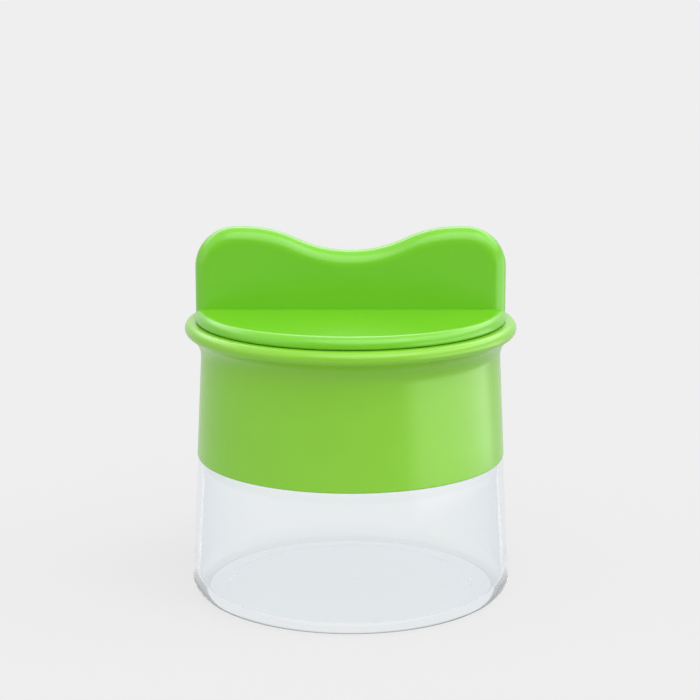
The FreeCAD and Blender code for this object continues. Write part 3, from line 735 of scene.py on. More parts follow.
def moulded_plastic(finish, hue, roughness):
    """Satin plastic: slow flow marks in the colour, patches of handling haze, very slight sink."""
    sizes = finish_sizes()
    flow = finish.noise(sizes.flow_grain, detail=3, stretch=(1, 1, sizes.flow_stretch))
    haze = finish.noise(sizes.haze_grain, detail=2)
    sink = finish.noise(sizes.sink_grain, detail=1)
    return finish.done(finish.surface(
        Base_Color=finish.varied(hue, flow, sizes.flow_tone, sizes.flow_tone),
        Roughness=haze * sizes.haze + (roughness - sizes.haze / 2),
        Normal=finish.bump(sink, sizes.sink_depth),
        IOR=1.49,
    ))


def caught(finish):
    """1 for the rays that the cup's wall has turned several times, and now lets out."""
    depth = finish.add("LightPath", output="Ray Depth")
    return depth.maths("GREATER_THAN", depth, MOST_TURNS + 0.5)


def clear_plastic(finish, hue, edge_hue, foot_shade_hue, foot_radius, cup):
    """Polished clear plastic, bluer where it is seen edge on, with painted shade round the foot: a dark grey
    band, strongest where the wall is seen edge on, stands in for the contact shadow and dark refraction along
    the foot's edge, and the band is rougher. It hardly bends what is behind it, its coat mirrors the room,
    and lamps shine through it, so its shadow is light.
    A ray that is caught in its wall comes out after a few turns."""
    sizes = finish_sizes()
    place = finish.place()
    ripple = finish.noise(sizes.ripple_grain, detail=2, stretch=(1, 1, sizes.ripple_stretch))
    haze = finish.noise(sizes.clear_haze_grain, detail=3)
    edge_on = finish.add("LayerWeight", values={"Blend": 0.3}, output="Facing")
    height = finish.along(place, "Z")
    flat_place = finish.add("VectorMath", {"operation": "MULTIPLY"}, {0: place, 1: (1, 1, 0)})
    # Painted shade: the mask of the dark band round the foot, fading up from the floor and strongest where
    # the wall is seen edge on.
    outside = finish.ramp(finish.length(flat_place), foot_radius, foot_radius + cup.scuff)
    shows = finish.ramp(edge_on, sizes.foot_shade_from, sizes.foot_shade_full)
    faint = finish.ramp(height, cup.foot_shade_top, cup.scuff) * sizes.foot_shade_faint
    strong = finish.ramp(height, cup.foot_shade_edge_top, cup.foot_shade_top) * shows
    foot_shaded = outside * finish.clamped(faint + strong)
    tint = finish.mix(edge_on * edge_on, hue, edge_hue)
    body = finish.surface(
        Base_Color=finish.mix(foot_shaded, tint, foot_shade_hue),
        Roughness=haze * sizes.clear_haze + sizes.clear_rough + foot_shaded * sizes.foot_shade_rough,
        Normal=finish.bump(ripple, sizes.ripple_depth),
        IOR=1.02,
        Transmission_Weight=1.0,
        Coat_Weight=0.5,
        Coat_Roughness=0.03,
    )
    through = finish.add("BsdfTransparent", values={"Color": hue})
    freed = finish.blend(caught(finish), body, through)
    return finish.done(finish.blend(finish.ray("Shadow"), freed, through))


def turned_steel(finish, hue):
    """Bright steel with fine marks round it and small differences in polish."""
    sizes = finish_sizes()
    marks = finish.noise(sizes.turned_grain, detail=3, stretch=(0.6, 0.6, 6))
    cloud = finish.noise(sizes.cloud_grain, detail=3)
    return finish.done(finish.surface(
        Base_Color=finish.varied(hue, cloud, darker=0.07, paler=0.04),
        Metallic=1.0,
        Roughness=cloud * sizes.cloud_rough + marks * sizes.turned_marks + sizes.turned_rough,
        Normal=finish.bump(marks, sizes.turned_depth),
    ))


def ground_steel(finish, hue, edge_line, bevel):
    """Blade steel: brushed along its length, and finely ground across the bevelled edge."""
    sizes = finish_sizes()
    line = edge_line - bevel
    on_bevel = finish.ramp(finish.along(finish.place(), "Y"), line - SUPPORT, line + SUPPORT)
    brushed = finish.noise(sizes.brushed_grain, detail=4, stretch=(0.05, 7, 1))
    ground = finish.noise(sizes.ground_grain, detail=3, stretch=(9, 0.3, 1))
    marks = brushed * (1 - on_bevel) + ground * on_bevel
    return finish.done(finish.surface(
        Base_Color=finish.varied(hue, marks, darker=0.12, paler=0.05),
        Metallic=1.0,
        Roughness=marks * sizes.blade_marks + sizes.blade_rough - on_bevel * sizes.blade_polish,
        Normal=finish.bump(marks, sizes.blade_depth),
    ))


def hue_of(thing):
    return tuple(getattr(bpy.context.scene.cutter_colours, thing))


def finish_sizes():
    return bpy.context.scene.cutter_finishes


def green_plastic(thing):
    """The green of the grip, the head, the tooth_ring or the sleeve."""
    roughness = getattr(finish_sizes(), f"{thing}_rough")
    return made_once(f"{thing} green plastic", moulded_plastic, hue_of(thing), roughness)


def cup_plastic():
    cup = bpy.context.scene.cutter_cup
    # The third hue is the painted shade round the cup's foot.
    hues = [hue_of(thing) for thing in ("clear", "clear_edge", "scuff")]
    foot_radius = radius_of("container") - cup.corner
    return made_once("clear cup plastic", clear_plastic, *hues, foot_radius, cup)


def fixing_steel():
    return made_once("turned steel", turned_steel, hue_of("steel"))


def blade_steel():
    cutter = bpy.context.scene.cutter_blade
    edge = (cutter.blade_overhang, cutter.blade_bevel)
    return made_once("ground blade steel", ground_steel, hue_of("blade"), *edge)


# ---------------------------------------------------------------- places from the frame


def top(node):
    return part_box(node)[1].z


def bottom(node):
    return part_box(node)[0].z


def radius_of(node):
    """Half the width of a node that is centred on the axis."""
    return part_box(node)[1].x


def centre_of(node):
    low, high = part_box(node)
    return (low + high) / 2


def onto(node, height):
    """The move from the origin to the upright line through a node's centre, at that height."""
    centre = centre_of(node)
    return Matrix.Translation((centre.x, centre.y, height))


def nodes_like(start):
    return sorted(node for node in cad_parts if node.startswith(start))


def shoulder_height():
    return top("container") - bpy.context.scene.cutter_cup.neck_height


def neck_radius():
    cup = bpy.context.scene.cutter_cup
    return radius_of("container") - cup.taper - cup.neck_inset


def ledge_inner_radius():
    """The ledge's inner edge lines up with the foot of the feed sleeve."""
    return min(math.hypot(v.co.x, v.co.y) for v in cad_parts["feed_sleeve"].data.vertices)


def sleeve_radius():
    """Outside of the feed sleeve's tube."""
    low = bottom("feed_sleeve")
    foot = [v.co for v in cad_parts["feed_sleeve"].data.vertices if v.co.z < low + SUPPORT]
    return max(math.hypot(p.x, p.y) for p in foot)


def disc_top():
    return bottom("grip_shell") + bpy.context.scene.cutter_holder.disc


# ---------------------------------------------------------------- the cup


def thread_rib(angle, height, lower_end):
    """How much of a thread rib's depth stands at that place, from 0 to 1."""
    thread = bpy.context.scene.cutter_thread
    step = math.tau / thread.starts
    along = angle % step
    if along > thread.span:
        return 0.0
    off = abs(height - lower_end - thread.lead * along / math.tau)
    rib = 1 - smooth_step(off, thread.crest / 2, thread.root / 2 + SUPPORT)
    rising = smooth_step(along, 0, thread.fade)
    falling = smooth_step(along, thread.span - thread.fade, thread.span)
    return rib * rising * (1 - falling)


def threaded(wall, depth, lower_end):
    """Pushes thread ribs out of the turned wall of that radius, or inwards with a depth below 0."""
    def push(angle, radius, height):
        if abs(radius - wall) > TINY:
            return 0.0
        return depth * thread_rib(angle, height, lower_end)
    return push


def cup_outline(cup):
    """Outline of the cup from the middle of its base, round the outside, to its floor inside."""
    base = radius_of("container")
    shoulder = (base - cup.taper, shoulder_height())
    neck = neck_radius()
    neck_inner = neck - cup.neck_wall
    brim = top("container")
    corner = (base - cup.corner, cup.corner)
    wall_angle = tangent_angle(shoulder, corner, cup.corner, -1)
    foot_inner = corner[0] - cup.foot
    floor = cup.punt + cup.floor
    inner_corner = cup.corner - cup.wall
    floor_corner = (corner[0], floor + inner_corner)
    inner_shoulder = (shoulder[0] - cup.wall, shoulder[1] - cup.inner_shoulder)
    inner_angle = tangent_angle(inner_shoulder, floor_corner, inner_corner, -1)
    fine = cup.edge / 2
    return rounded(
        (0, cup.punt + cup.gate_depth),
        (cup.gate_radius, cup.punt + cup.gate_depth, fine),
        (cup.gate_radius, cup.punt, fine / 3),
        (foot_inner - cup.punt, cup.punt, cup.edge),
        (foot_inner, 0, cup.edge),
        *arc(corner, cup.corner, -90, wall_angle),
        (*shoulder, cup.edge),
        (neck, shoulder[1], cup.edge),
        *rows(neck, shoulder[1] + 2 * cup.edge, brim - cup.neck_chamfer - 2 * fine),
        (neck, brim - cup.neck_chamfer, fine),
        (neck - cup.neck_chamfer, brim, fine),
        (neck_inner, brim, cup.edge),
        (neck_inner, shoulder[1] - cup.wall, 2 * cup.edge),
        (*inner_shoulder, 4 * cup.edge),
        *arc(floor_corner, inner_corner, inner_angle, -90),
        (0, floor),
    )


class CUTTER_OT_cup(bpy.types.Operator):
    """Builds the clear cup with its threaded neck"""

    bl_idname = "cutter.cup"
    bl_label = "Clear cup"

    def execute(self, context):
        thread = context.scene.cutter_thread
        push = threaded(neck_radius(), thread.depth, shoulder_height() + thread.rise)
        cup = lathe("clear_cup", cup_outline(context.scene.cutter_cup), push=push)
        fitted(smooth(cup), cup_plastic(), "clear_plastic", "container", "container")
        return {"FINISHED"}


# ---------------------------------------------------------------- the head


def ring_outline(head):
    """Outline of the head ring, from the bore's lower edge round the outside."""
    low = bottom("head_ring")
    lip_top = top("head_ring")
    lip = (radius_of("head_ring") - head.lip_round, lip_top - head.lip_round)
    waist = lip[0] - head.lip_reach
    edge = waist + head.taper
    bore = edge - head.wall
    sleeve_bore = waist - head.waist_wall
    flare_rise = math.sqrt((head.flare + head.lip_round) ** 2 - (waist + head.flare - lip[0]) ** 2)
    flare = (waist + head.flare, lip[1] - flare_rise)
    wall_angle = tangent_angle((edge, low), flare, head.flare, -1) % 360
    inner = lip[0] - head.lip_width
    seat = top("feed_sleeve") - head.sleeve_flange
    ledge = bottom("feed_sleeve")
    ledge_inner = ledge_inner_radius()
    return rounded(
        (bore, low, head.edge),
        (edge, low, head.edge),
        *arc(flare, head.flare, wall_angle, angle_to(flare, lip)),
        *arc(lip, head.lip_round, angle_to(lip, flare), 90),
        (inner, lip_top, head.lip_inner_round),
        (inner, seat, head.edge / 3),
        (sleeve_bore, seat, head.edge / 3),
        (sleeve_bore, ledge, head.edge / 3),
        (ledge_inner, ledge, head.edge),
        (ledge_inner, ledge - head.ledge, head.edge),
        (bore, ledge - head.ledge, head.edge),
        *rows(bore, ledge - head.ledge - 2 * head.edge, low + 2 * head.edge),
    )


class CUTTER_OT_head_ring(bpy.types.Operator):
    """Builds the green head ring with its flared lip and inner thread"""

    bl_idname = "cutter.head_ring"
    bl_label = "Head ring"

    def execute(self, context):
        head = context.scene.cutter_head
        thread = context.scene.cutter_thread
        bore = radius_of("head_ring") - head.lip_round - head.lip_reach + head.taper - head.wall
        half_start = thread.lead / thread.starts / 2
        lower_end = shoulder_height() + thread.rise - half_start
        ring = lathe("screw_ring", ring_outline(head), push=threaded(bore, -thread.depth, lower_end))
        fitted(smooth(ring), green_plastic("head"), "green_plastic", "head", "head_ring")
        return {"FINISHED"}


class CUTTER_OT_feed_sleeve(bpy.types.Operator):
    """Builds the feed sleeve that lines the head"""

    bl_idname = "cutter.feed_sleeve"
    bl_label = "Feed sleeve"

    def execute(self, context):
        head = context.scene.cutter_head
        outside = sleeve_radius()
        inside = outside - head.sleeve_wall
        flange_top = top("feed_sleeve")
        flange = radius_of("feed_sleeve")
        low = bottom("feed_sleeve")
        foot = ledge_inner_radius()
        edge = head.sleeve_edge
        sleeve = lathe("feed_tube", rounded(
            (foot, low, edge),
            (outside, low, edge / 2),
            (outside, flange_top - head.sleeve_flange, edge / 2),
            (flange, flange_top - head.sleeve_flange, edge / 2),
            (flange, flange_top, edge / 2),
            (outside - head.sleeve_wall / 2, flange_top, edge),
            (inside, flange_top - head.sleeve_wall / 2, edge),
            (inside, low + head.sleeve_foot, edge),
            (foot, low + head.sleeve_foot, edge),
        ))
        fitted(smooth(sleeve), green_plastic("sleeve"), "green_plastic", "head", "feed_sleeve")
        return {"FINISHED"}


# ---------------------------------------------------------------- the cutter


def circle(radius, sides):
    """A round rim of a plate."""
    def rim(out):
        return [on_circle((0, 0), radius + out, 360 * i / sides) for i in range(sides)]
    return rim


def rounded_slot(low, high, corner):
    """A rectangular rim with rounded corners."""
    left, right = low[0] + corner, high[0] - corner
    front, back = low[1] + corner, high[1] - corner
    centres = ((right, back), (left, back), (left, front), (right, front))

    def rim(out):
        points = []
        for i, centre in enumerate(centres):
            points += arc(centre, corner + out, 90 * i, 90 * (i + 1), TURN_STEP)
        return points
    return rim


def blade_ends(cutter):
    return cutter.hub_radius + cutter.slot_margin, ledge_inner_radius() + cutter.blade_end_margin


def blade_place(cutter):
    """Where the blade lies. Its own X is radial, Y points to the cutting edge and Z is its upper side."""
    edge = (0, cutter.blade_overhang, platform_top(cutter) + cutter.blade_lift)
    return Matrix.Translation(edge) @ Matrix.Rotation(cutter.blade_tilt, 4, "X")


def platform_foot():
    """The platform stands on the foot of the feed sleeve. Its hub reaches further down."""
    return bottom("feed_sleeve") + bpy.context.scene.cutter_head.sleeve_foot


def platform_top(cutter):
    return platform_foot() + cutter.thickness


class CUTTER_OT_platform(bpy.types.Operator):
    """Builds the blade platform with its hub, slot and wedge"""

    bl_idname = "cutter.platform"
    bl_label = "Blade platform"

    def execute(self, context):
        cutter = context.scene.cutter_blade
        low = platform_foot()
        high = platform_top(cutter)
        inner, outer = blade_ends(cutter)
        slot_low = (inner, -cutter.slot_back)
        slot_high = (ledge_inner_radius() - cutter.slot_margin, cutter.slot_front)
        rims = [
            (circle(radius_of("blade_platform"), SIDES), -1),
            (rounded_slot(slot_low, slot_high, cutter.slot_corner), 1),
            (circle(cutter.bore, SMALL_SIDES), 1),
        ]
        disc = plate("blade_disc", rims, low, high, cutter.hub_edge)
        hub_low = bottom("blade_platform")
        hub_high = low + cutter.hub_edge * 2
        hub = lathe("hub", rounded(
            (cutter.bore, hub_low, cutter.hub_edge / 2),
            (cutter.hub_radius, hub_low, cutter.hub_edge),
            (cutter.hub_radius, hub_high),
            (cutter.bore, hub_high),
        ), sides=2 * SMALL_SIDES)
        slope = math.tan(cutter.blade_tilt)
        back = cutter.blade_overhang - cutter.blade_width * math.cos(cutter.blade_tilt)
        front = -cutter.slot_back

        def under_blade(corner):
            if corner.z > high:
                corner.z = high + cutter.blade_lift - (cutter.blade_overhang - corner.y) * slope
            return corner

        wedge = prism(
            "wedge",
            (inner, back, high - 2 * cutter.hub_edge),
            (outer, front, high + cutter.blade_lift),
            cutter.hub_edge / 2,
            under_blade,
        )
        combined(disc, [hub, wedge])
        smooth(disc, flats=True)
        fitted(disc, green_plastic("head"), "green_plastic", "head", "blade_platform")
        return {"FINISHED"}


def rivet(name, fixings, thick):
    """A domed rivet through the blade, whose upper side lies at the height thick."""
    head_radius = fixings.rivet_head_radius
    rim_top = thick + fixings.rivet_rim
    dome = fixings.rivet_head - fixings.rivet_rim
    dome_radius = (head_radius ** 2 + dome ** 2) / (2 * dome)
    centre = (0, thick + fixings.rivet_head - dome_radius)
    rim_angle = angle_to(centre, (head_radius, rim_top))
    return lathe(name, rounded(
        (0, -fixings.rivet_length),
        (fixings.rivet_radius, -fixings.rivet_length, fixings.tip),
        (fixings.rivet_radius, thick),
        (head_radius, thick, fixings.rivet_rim / 4),
        (head_radius, rim_top, fixings.rivet_rim / 2),
        *arc(centre, dome_radius, rim_angle, 90)[1:],
    ), SMALL_SIDES)


def blade_mesh(cutter):
    """The blade in its own axes. Its underside is flat, and its edge is ground from above."""
    inner, outer = blade_ends(cutter)
    corner = cutter.blade_corner
    back = corner - cutter.blade_width
    flat = [(outer, -cutter.blade_bevel), (inner, -cutter.blade_bevel)]
    flat += arc((inner + corner, back), corner, 180, 270, TURN_STEP)
    flat += arc((outer - corner, back), corner, 270, 360, TURN_STEP)
    edge = [(inner, 0), (outer, 0)]
    count = len(flat)
    points = [(x, y, cutter.blade_thickness) for x, y in flat] + [(x, y, 0) for x, y in flat + edge]
    upper = list(range(count))
    lower = list(range(count, 2 * count))
    left, right = 2 * count, 2 * count + 1
    faces = [upper, [*lower[1:], lower[0], right, left], [upper[0], upper[1], left, right]]
    faces += [[upper[i], upper[(i + 1) % count], lower[(i + 1) % count], lower[i]] for i in range(1, count)]
    faces += [[upper[1], lower[1], left], [upper[0], lower[0], right]]
    return bevelled(closed_mesh("straight_blade", points, faces), cutter.blade_edge, 60)


class CUTTER_OT_blade(bpy.types.Operator):
    """Builds the ground blade and its rivets"""

    bl_idname = "cutter.blade"
    bl_label = "Blade and rivets"

    def execute(self, context):
        cutter = context.scene.cutter_blade
        place = blade_place(cutter)
        blade = blade_mesh(cutter)
        blade.data.transform(place)
        fitted(smooth(blade, flats=True), blade_steel(), "blade_steel", "head", "slicing_blade")
        for node in nodes_like("blade_rivet"):
            made = rivet(f"steel_{node}", context.scene.cutter_fixings, cutter.blade_thickness)
            rivet_place = (centre_of(node).x, cutter.rivet_from_back - cutter.blade_width, 0)
            made.data.transform(place @ Matrix.Translation(rivet_place))
            fitted(smooth(made), fixing_steel(), "bright_steel", "head", node)
        return {"FINISHED"}


# ---------------------------------------------------------------- pins, prongs and screws


def spike(name, node, radius, head, point, points_up):
    """A headed pin or prong that fills the place of a node."""
    fixings = bpy.context.scene.cutter_fixings
    low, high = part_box(node)
    head_radius = (high.x - low.x) / 2
    length = high.z - low.z
    tip = fixings.tip
    made = lathe(name, rounded(
        (0, 0),
        (head_radius, 0, tip * 2),
        (head_radius, head, tip),
        (radius, head, tip / 2),
        (radius, length - point, tip * 4),
        (tip, length - tip, tip),
        (0, length),
    ), SMALL_SIDES)
    if points_up:
        made.data.transform(onto(node, low.z))
    else:
        made.data.transform(onto(node, high.z) @ Matrix.Rotation(math.pi, 4, "X"))
    return smooth(made)


class CUTTER_OT_pins(bpy.types.Operator):
    """Builds the two pins on the axis and the holder's prongs"""

    bl_idname = "cutter.pins"
    bl_label = "Pins and prongs"

    def execute(self, context):
        fixings = context.scene.cutter_fixings
        pin = (fixings.pin_radius, fixings.pin_head, fixings.pin_point)
        prong = (fixings.prong_radius, fixings.prong_head, fixings.prong_point)
        made = spike("axis_spike", "centre_pin", *pin, True)
        fitted(made, fixing_steel(), "bright_steel", "head_axis", "centre_pin")
        made = spike("holder_spike", "holder_pin", *pin, False)
        fitted(made, fixing_steel(), "bright_steel", "holder_axis", "holder_pin")
        for node in nodes_like("prong"):
            made = spike(f"holder_{node}", node, *prong, False)
            fitted(made, fixing_steel(), "bright_steel", "holder", node)
        return {"FINISHED"}


def screw_mesh(fixings, length, head_radius):
    """A pan-head screw with a crossed recess. It points up from z = 0, with its head below."""
    head = fixings.screw_head
    radius = fixings.screw_radius
    screw = lathe("screw", rounded(
        (0, -head),
        (head_radius, -head, fixings.screw_head_round),
        (head_radius, 0, fixings.screw_edge),
        (radius, 0, fixings.screw_edge / 2),
        (radius, length - fixings.screw_point, fixings.screw_point_edge),
        (radius / 3, length, fixings.screw_point_edge),
        (0, length),
    ), SMALL_SIDES)
    half = fixings.recess_span / 2
    narrow = fixings.recess_width / 2
    deep = -head + fixings.recess_depth

    def taper(corner):
        if corner.z > -head:
            corner.xy *= fixings.recess_taper
        return corner

    cross = [
        prism(f"recess_{i}", (-a, -b, -2 * head), (a, b, deep), fixings.recess_edge, taper)
        for i, (a, b) in enumerate(((half, narrow), (narrow, half)))
    ]
    smooth(combined(screw, cross, "DIFFERENCE"))
    mesh = screw.data
    bpy.data.objects.remove(screw)
    return mesh


class CUTTER_OT_screws(bpy.types.Operator):
    """Builds the screws that hold the platform and the tooth ring"""

    bl_idname = "cutter.screws"
    bl_label = "Screws"

    def execute(self, context):
        fixings = context.scene.cutter_fixings
        for kind, body in (("platform_screw", "head"), ("holder_screw", "holder")):
            nodes = nodes_like(kind)
            low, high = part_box(nodes[0])
            length = high.z - low.z - fixings.screw_head
            mesh = screw_mesh(fixings, length, (high.x - low.x) / 2)
            for i, node in enumerate(nodes):
                driven = Matrix.Rotation(fixings.recess_step * i + fixings.recess_turn, 4, "Z")
                own = mesh.copy()
                own.transform(onto(node, bottom(node) + fixings.screw_head) @ driven)
                screw = linked(f"steel_{node}", own)
                fitted(screw, fixing_steel(), "bright_steel", body, node)
        return {"FINISHED"}


# ---------------------------------------------------------------- the holder


def with_inward(centre, points, side=1):
    """The points of an arc, each with the unit direction to its centre, or away from it with side -1."""
    return [(p, tuple((Vector(centre) - Vector(p)).normalized() * side)) for p in points]


def grip_rim(holder, low):
    """The grip's outline from its right foot over both lobes to its left foot: points and inward
    directions in the plane of x and z."""
    top_z = top("grip_shell")
    dip = disc_top() + holder.dip
    drop = top_z - dip
    end = radius_of("grip_shell") - holder.end_gap
    lobe = radius_of("grip_shell") - holder.lobe_inset
    radius = (lobe ** 2 + drop ** 2) / (4 * drop)
    lean = math.degrees(math.asin(lobe / (2 * radius)))
    side = (end - holder.corner, top_z - holder.corner)
    centre = (lobe, top_z - radius)
    hollow = (0, dip + radius)
    half = [((end, low + (side[1] - low) * i / GRIP_ROWS), (-1, 0)) for i in range(GRIP_ROWS)]
    half += with_inward(side, arc(side, holder.corner, 0, 90, CORNER_STEP))
    half += with_inward(centre, arc(centre, radius, 90, 90 + lean, LOBE_STEP))
    half += with_inward(hollow, arc(hollow, radius, lean - 90, -90, LOBE_STEP)[1:], -1)
    mirrored = [((-p[0], p[1]), (-d[0], d[1])) for p, d in reversed(half[:-1])]
    return half + mirrored


def grip_section(holder):
    """Across the grip's edge: how far in from the rim, and where across the grip."""
    edge = edge_round((holder.grip - holder.crest) / 2, GRIP_FACETS)
    front = [(inset, drop - holder.grip / 2) for inset, drop in edge]
    return front[::-1] + [(inset, -across) for inset, across in front]


def grip_plate(holder):
    """The upright two-lobed plate. Its foot ends inside the disc, below the rounding of its edge."""
    section = grip_section(holder)
    points = []
    rings = []
    for (x, z), (inward_x, inward_z) in grip_rim(holder, disc_top() - holder.top_round - SUPPORT):
        rings.append(range(len(points), len(points) + len(section)))
        points += [(x + inward_x * inset, across, z + inward_z * inset) for inset, across in section]
    faces = [
        (row[k], row[k + 1], after[k + 1], after[k])
        for row, after in zip(rings, rings[1:])
        for k in range(len(section) - 1)
    ]
    faces.append([row[0] for row in rings])
    faces.append([row[-1] for row in rings])
    faces.append([*rings[0], *reversed(rings[-1])])
    return closed_mesh("plate", points, faces)


class CUTTER_OT_grip(bpy.types.Operator):
    """Builds the holder's disc and two-lobed grip"""

    bl_idname = "cutter.grip"
    bl_label = "Grip"

    def execute(self, context):
        holder = context.scene.cutter_holder
        low = bottom("grip_shell")
        radius = radius_of("grip_shell")
        recess = radius_of("tooth_ring") - holder.rib_proud - holder.skirt_wall / 2 + holder.end_gap
        disc = lathe("grip", rounded(
            (0, low + holder.register),
            (recess, low + holder.register, holder.edge),
            (recess, low, holder.edge),
            (radius, low, holder.bottom_round),
            (radius, disc_top(), holder.top_round),
            (0, disc_top()),
        ))
        combined(disc, [grip_plate(holder)])
        smooth(disc, flats=True)
        fitted(disc, green_plastic("grip"), "green_plastic", "holder", "grip_shell")
        return {"FINISHED"}


def rib(holder, degrees, skirt, low, high):
    shape = prism(
        f"rib_{degrees:.0f}",
        (skirt - holder.skirt_wall / 2, -holder.rib_width / 2, low + holder.rib_shorter),
        (skirt + holder.rib_proud, holder.rib_width / 2, high - SUPPORT),
        holder.rib_edge,
    )
    return turned_round(shape, degrees)


def tooth(holder, degrees, root, shoulder):
    """Saw tooth: upright on the side that leads when the holder turns clockwise."""
    inner = holder.tooth_circle - holder.tooth_thickness / 2
    outer = inner + holder.tooth_thickness
    half = holder.tooth_width / 2
    tip = shoulder - holder.tooth_reach
    levels = (
        (root, outer, half),
        (shoulder, outer, half),
        (tip, inner + holder.tooth_tip_thickness, holder.tooth_tip_width - half),
    )
    points = []
    for height, out, back in levels:
        points += [(inner, -half, height), (out, -half, height), (out, back, height), (inner, back, height)]
    rings = [range(0, 4), range(4, 8), range(8, 12)]
    faces = skinned(rings) + [rings[0], rings[2]]
    made = closed_mesh(f"tooth_{degrees:.0f}", points, faces)
    return turned_round(bevelled(made, holder.tooth_edge), degrees)


class CUTTER_OT_tooth_ring(bpy.types.Operator):
    """Builds the ring under the disc, with its ribs and saw teeth"""

    bl_idname = "cutter.tooth_ring"
    bl_label = "Tooth ring"

    def execute(self, context):
        holder = context.scene.cutter_holder
        edge = holder.edge
        skirt = radius_of("tooth_ring") - holder.rib_proud
        skirt_low = bottom("tooth_ring") + holder.tooth_reach
        disc_low = bottom("grip_shell")
        web_low = disc_low - holder.web
        inside = skirt - holder.skirt_wall
        register = skirt - holder.skirt_wall / 2
        ring = lathe("tooth_band", rounded(
            (0, web_low),
            (inside, web_low, edge * 1.5),
            (inside, skirt_low, edge),
            (skirt, skirt_low, edge),
            (skirt, disc_low, edge / 2),
            (register, disc_low, edge / 2),
            (register, top("tooth_ring"), edge / 2),
            (0, top("tooth_ring")),
        ))
        step = 360 / holder.ribs
        ribs = [rib(holder, step * (i + 0.5), skirt, skirt_low, disc_low) for i in range(holder.ribs)]
        step = 360 / holder.teeth
        teeth = [tooth(holder, step * i, web_low + holder.web / 4, skirt_low) for i in range(holder.teeth)]
        bpy.context.view_layer.update()
        combined(ring, [one_mesh("ribs", ribs), one_mesh("teeth", teeth)])
        smooth(ring, flats=True)
        fitted(ring, green_plastic("tooth_ring"), "deep_green_plastic", "holder", "tooth_ring")
        return {"FINISHED"}


# ---------------------------------------------------------------- the stage


# The mirrored room is laid out on a ball of radius 1 round the tool. Each side of it has the direction of
# its middle, its spread and the width of its soft edge in degrees. A pair runs from where nothing shows
# to where all of it does.
PANEL = ((0.990, -0.139, 0), 38, 7)
DARK_SIDE = ((0, -1, 0), 40, 20)
PANEL_TOP = (0.20, 0.02)
STRIP_FOOT = (0.33, 0.46)
STRIP_TOP = (0.76, 0.66)
BEHIND = (0.0, 0.3)
DARK_FLOOR = (-0.34, -0.55)      # metres along Y
NEAR_FLOOR = (0.22, 0.17)        # metres from the axis. This near, the panel isn't mirrored
LAMPS = {                        # azimuth, elevation and width in degrees
    "key": (12, 56, 60),
    "above": (160, 80, 80),
    "side": (78, 45, 50),
    "fill": (-72, 30, 60),
}


def seen_through(finish):
    """1 for the rays that show the background straight or through the cup."""
    return finish.clamped(finish.ray("Camera") + finish.ray("Transmission") + caught(finish))


def seen_mirrored(finish):
    """1 for the rays that a surface mirrors. Rays that pass the cup count as glossy too, so they come off."""
    return finish.ray("Glossy") * (1 - finish.ray("Transmission")) * (1 - caught(finish))


def towards(finish, pointing, aim, spread, soft):
    """1 where a direction lies within spread of the aim, in degrees."""
    facing = finish.add("VectorMath", {"operation": "DOT_PRODUCT"}, {0: pointing, 1: aim}, "Value")
    return finish.ramp(facing, *(math.cos(math.radians(spread + side * soft)) for side in (1, -1)))


def mirrored_room(finish, where, dark, near):
    """What glossy surfaces mirror: a pale room with a dark front, a bright panel far off on the right, and
    a bright strip up at the back."""
    stage = bpy.context.scene.cutter_stage
    pointing = finish.pointing(where)
    height = finish.along(pointing, "Z")
    behind = finish.ramp(finish.along(pointing, "Y"), *BEHIND)
    on_strip = finish.ramp(height, *STRIP_FOOT) * finish.ramp(height, *STRIP_TOP) * behind
    on_right = towards(finish, pointing, *PANEL) * finish.ramp(height, *PANEL_TOP) * (1 - near)
    bare = finish.mix(dark, hue_of("backdrop"), hue_of("dark_side"))
    with_strip = finish.mix(on_strip, bare, (stage.back_strip,) * 3)
    return finish.mix(on_right, with_strip, (stage.right_panel,) * 3)


def floor_finish(finish):
    """Pale floor that keeps a light shadow. Most of its brightness comes from its own colour."""
    stage = bpy.context.scene.cutter_stage
    marks = finish.noise(finish_sizes().floor_grain, detail=3)
    matt = finish.surface(
        Base_Color=finish.varied(hue_of("floor"), marks, darker=0.003, paler=0.003),
        Roughness=1.0,
        Specular_IOR_Level=0.0,
    )
    place = finish.place()
    dark = finish.ramp(finish.along(place, "Y"), *DARK_FLOOR)
    near = finish.ramp(finish.length(place), *NEAR_FLOOR)
    mirrors = seen_mirrored(finish)
    shown = finish.mix(mirrors, hue_of("backdrop"), mirrored_room(finish, place, dark, near))
    glow = finish.add("Emission", values={"Color": shown})
    straight = finish.ray("Camera") * stage.floor_glow
    through = finish.ray("Transmission") * stage.floor_glow_through
    own = finish.clamped(straight + through + mirrors + caught(finish))
    return finish.done(finish.blend(own, matt, glow))


def room(context):
    """Even light from all round, and a pale background."""
    world = bpy.data.worlds.new("room")
    context.scene.world = world
    finish = Finish(world)
    where = finish.add("TexCoord", output="Generated")
    light = (context.scene.cutter_stage.room_light,) * 3
    dark = towards(finish, finish.pointing(where), *DARK_SIDE)
    shown = finish.mix(seen_through(finish), light, hue_of("backdrop"))
    shown = finish.mix(seen_mirrored(finish), shown, mirrored_room(finish, where, dark, 0))
    finish.add("OutputWorld", values={"Surface": finish.add("Background", values={"Color": shown})})


def sun(name, azimuth, elevation, width, strength):
    """A broad, far lamp. Azimuth 0 is in front, and 90 on the right."""
    data = bpy.data.lights.new(name, "SUN")
    data.energy = strength
    data.angle = math.radians(width)
    made = linked(name, data)
    made.rotation_euler = (math.radians(90 - elevation), 0, math.radians(azimuth))
    made.visible_transmission = False


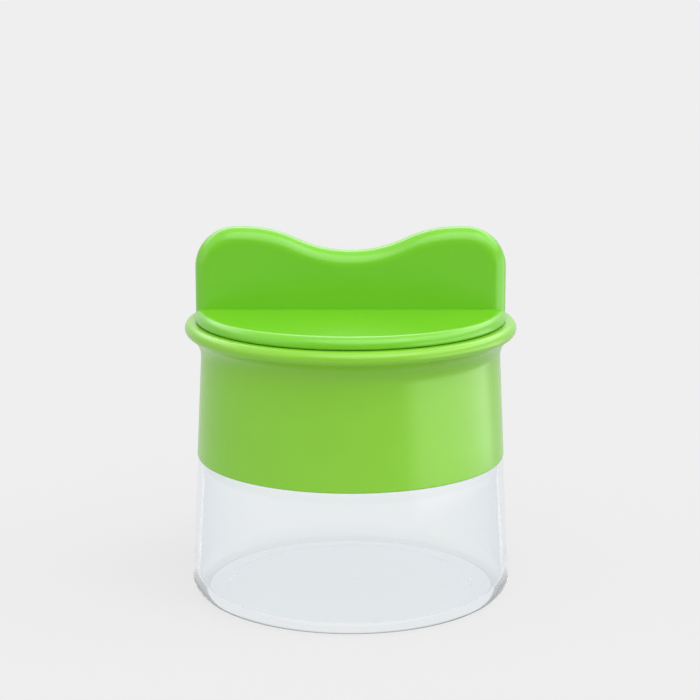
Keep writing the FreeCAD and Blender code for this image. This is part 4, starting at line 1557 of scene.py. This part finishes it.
class CUTTER_OT_stage(bpy.types.Operator):
    """Lays the pale floor and sets the lamps and the camera"""

    bl_idname = "cutter.stage"
    bl_label = "Stage"

    def execute(self, context):
        stage = context.scene.cutter_stage
        half = stage.floor_size / 2
        corners = [(x * half, y * half, -stage.floor_drop) for x, y in ((-1, -1), (1, -1), (1, 1), (-1, 1))]
        mesh = bpy.data.meshes.new("floor")
        mesh.from_pydata(corners, [], [(0, 1, 2, 3)])
        mesh.materials.append(made_once("pale floor", floor_finish))
        floor = linked("floor", mesh)
        room(context)
        for name, aim in LAMPS.items():
            sun(name, *aim, getattr(stage, f"{name}_light"))
        data = bpy.data.cameras.new("camera")
        data.lens = stage.lens
        data.clip_start = 0.01
        data.clip_end = 100
        camera = linked("camera", data)
        camera.location = (-stage.aside, -stage.distance, stage.height)
        camera.rotation_euler = (math.pi / 2 - stage.tilt, 0, 0)
        context.scene.camera = camera
        context.scene.view_settings.view_transform = "Standard"
        return {"FINISHED"}


# ---------------------------------------------------------------- the add-on


GROUPS = {
    "cutter_cup": CupSizes,
    "cutter_thread": ThreadSizes,
    "cutter_head": HeadSizes,
    "cutter_blade": CutterSizes,
    "cutter_fixings": FixingSizes,
    "cutter_holder": HolderSizes,
    "cutter_colours": Colours,
    "cutter_finishes": FinishSizes,
    "cutter_stage": StageSizes,
}
OPERATORS = (
    CUTTER_OT_stage,
    CUTTER_OT_cup,
    CUTTER_OT_head_ring,
    CUTTER_OT_feed_sleeve,
    CUTTER_OT_platform,
    CUTTER_OT_blade,
    CUTTER_OT_pins,
    CUTTER_OT_screws,
    CUTTER_OT_grip,
    CUTTER_OT_tooth_ring,
)


class CUTTER_PT_sidebar(bpy.types.Panel):
    """The steps and sizes of the spiral cutter"""

    bl_idname = "CUTTER_PT_sidebar"
    bl_label = "Spiral Cutter"
    bl_space_type = "VIEW_3D"
    bl_region_type = "UI"
    bl_category = "Spiral Cutter"

    def draw(self, context):
        layout = self.layout
        for operator in OPERATORS:
            layout.operator(operator.bl_idname)
        for name, group in GROUPS.items():
            box = layout.box()
            box.label(text=group.__doc__)
            for prop in group.__annotations__:
                box.prop(getattr(context.scene, name), prop)


def register():
    for name, group in GROUPS.items():
        bpy.utils.register_class(group)
        setattr(bpy.types.Scene, name, PointerProperty(type=group))
    for operator in OPERATORS:
        bpy.utils.register_class(operator)
    bpy.utils.register_class(CUTTER_PT_sidebar)


def unregister():
    bpy.utils.unregister_class(CUTTER_PT_sidebar)
    for operator in reversed(OPERATORS):
        bpy.utils.unregister_class(operator)
    for name, group in GROUPS.items():
        delattr(bpy.types.Scene, name)
        bpy.utils.unregister_class(group)


def main():
    register()
    for operator in OPERATORS:
        group, step = operator.bl_idname.split(".")
        getattr(getattr(bpy.ops, group), step)()


if __name__ == "__main__":
    main()
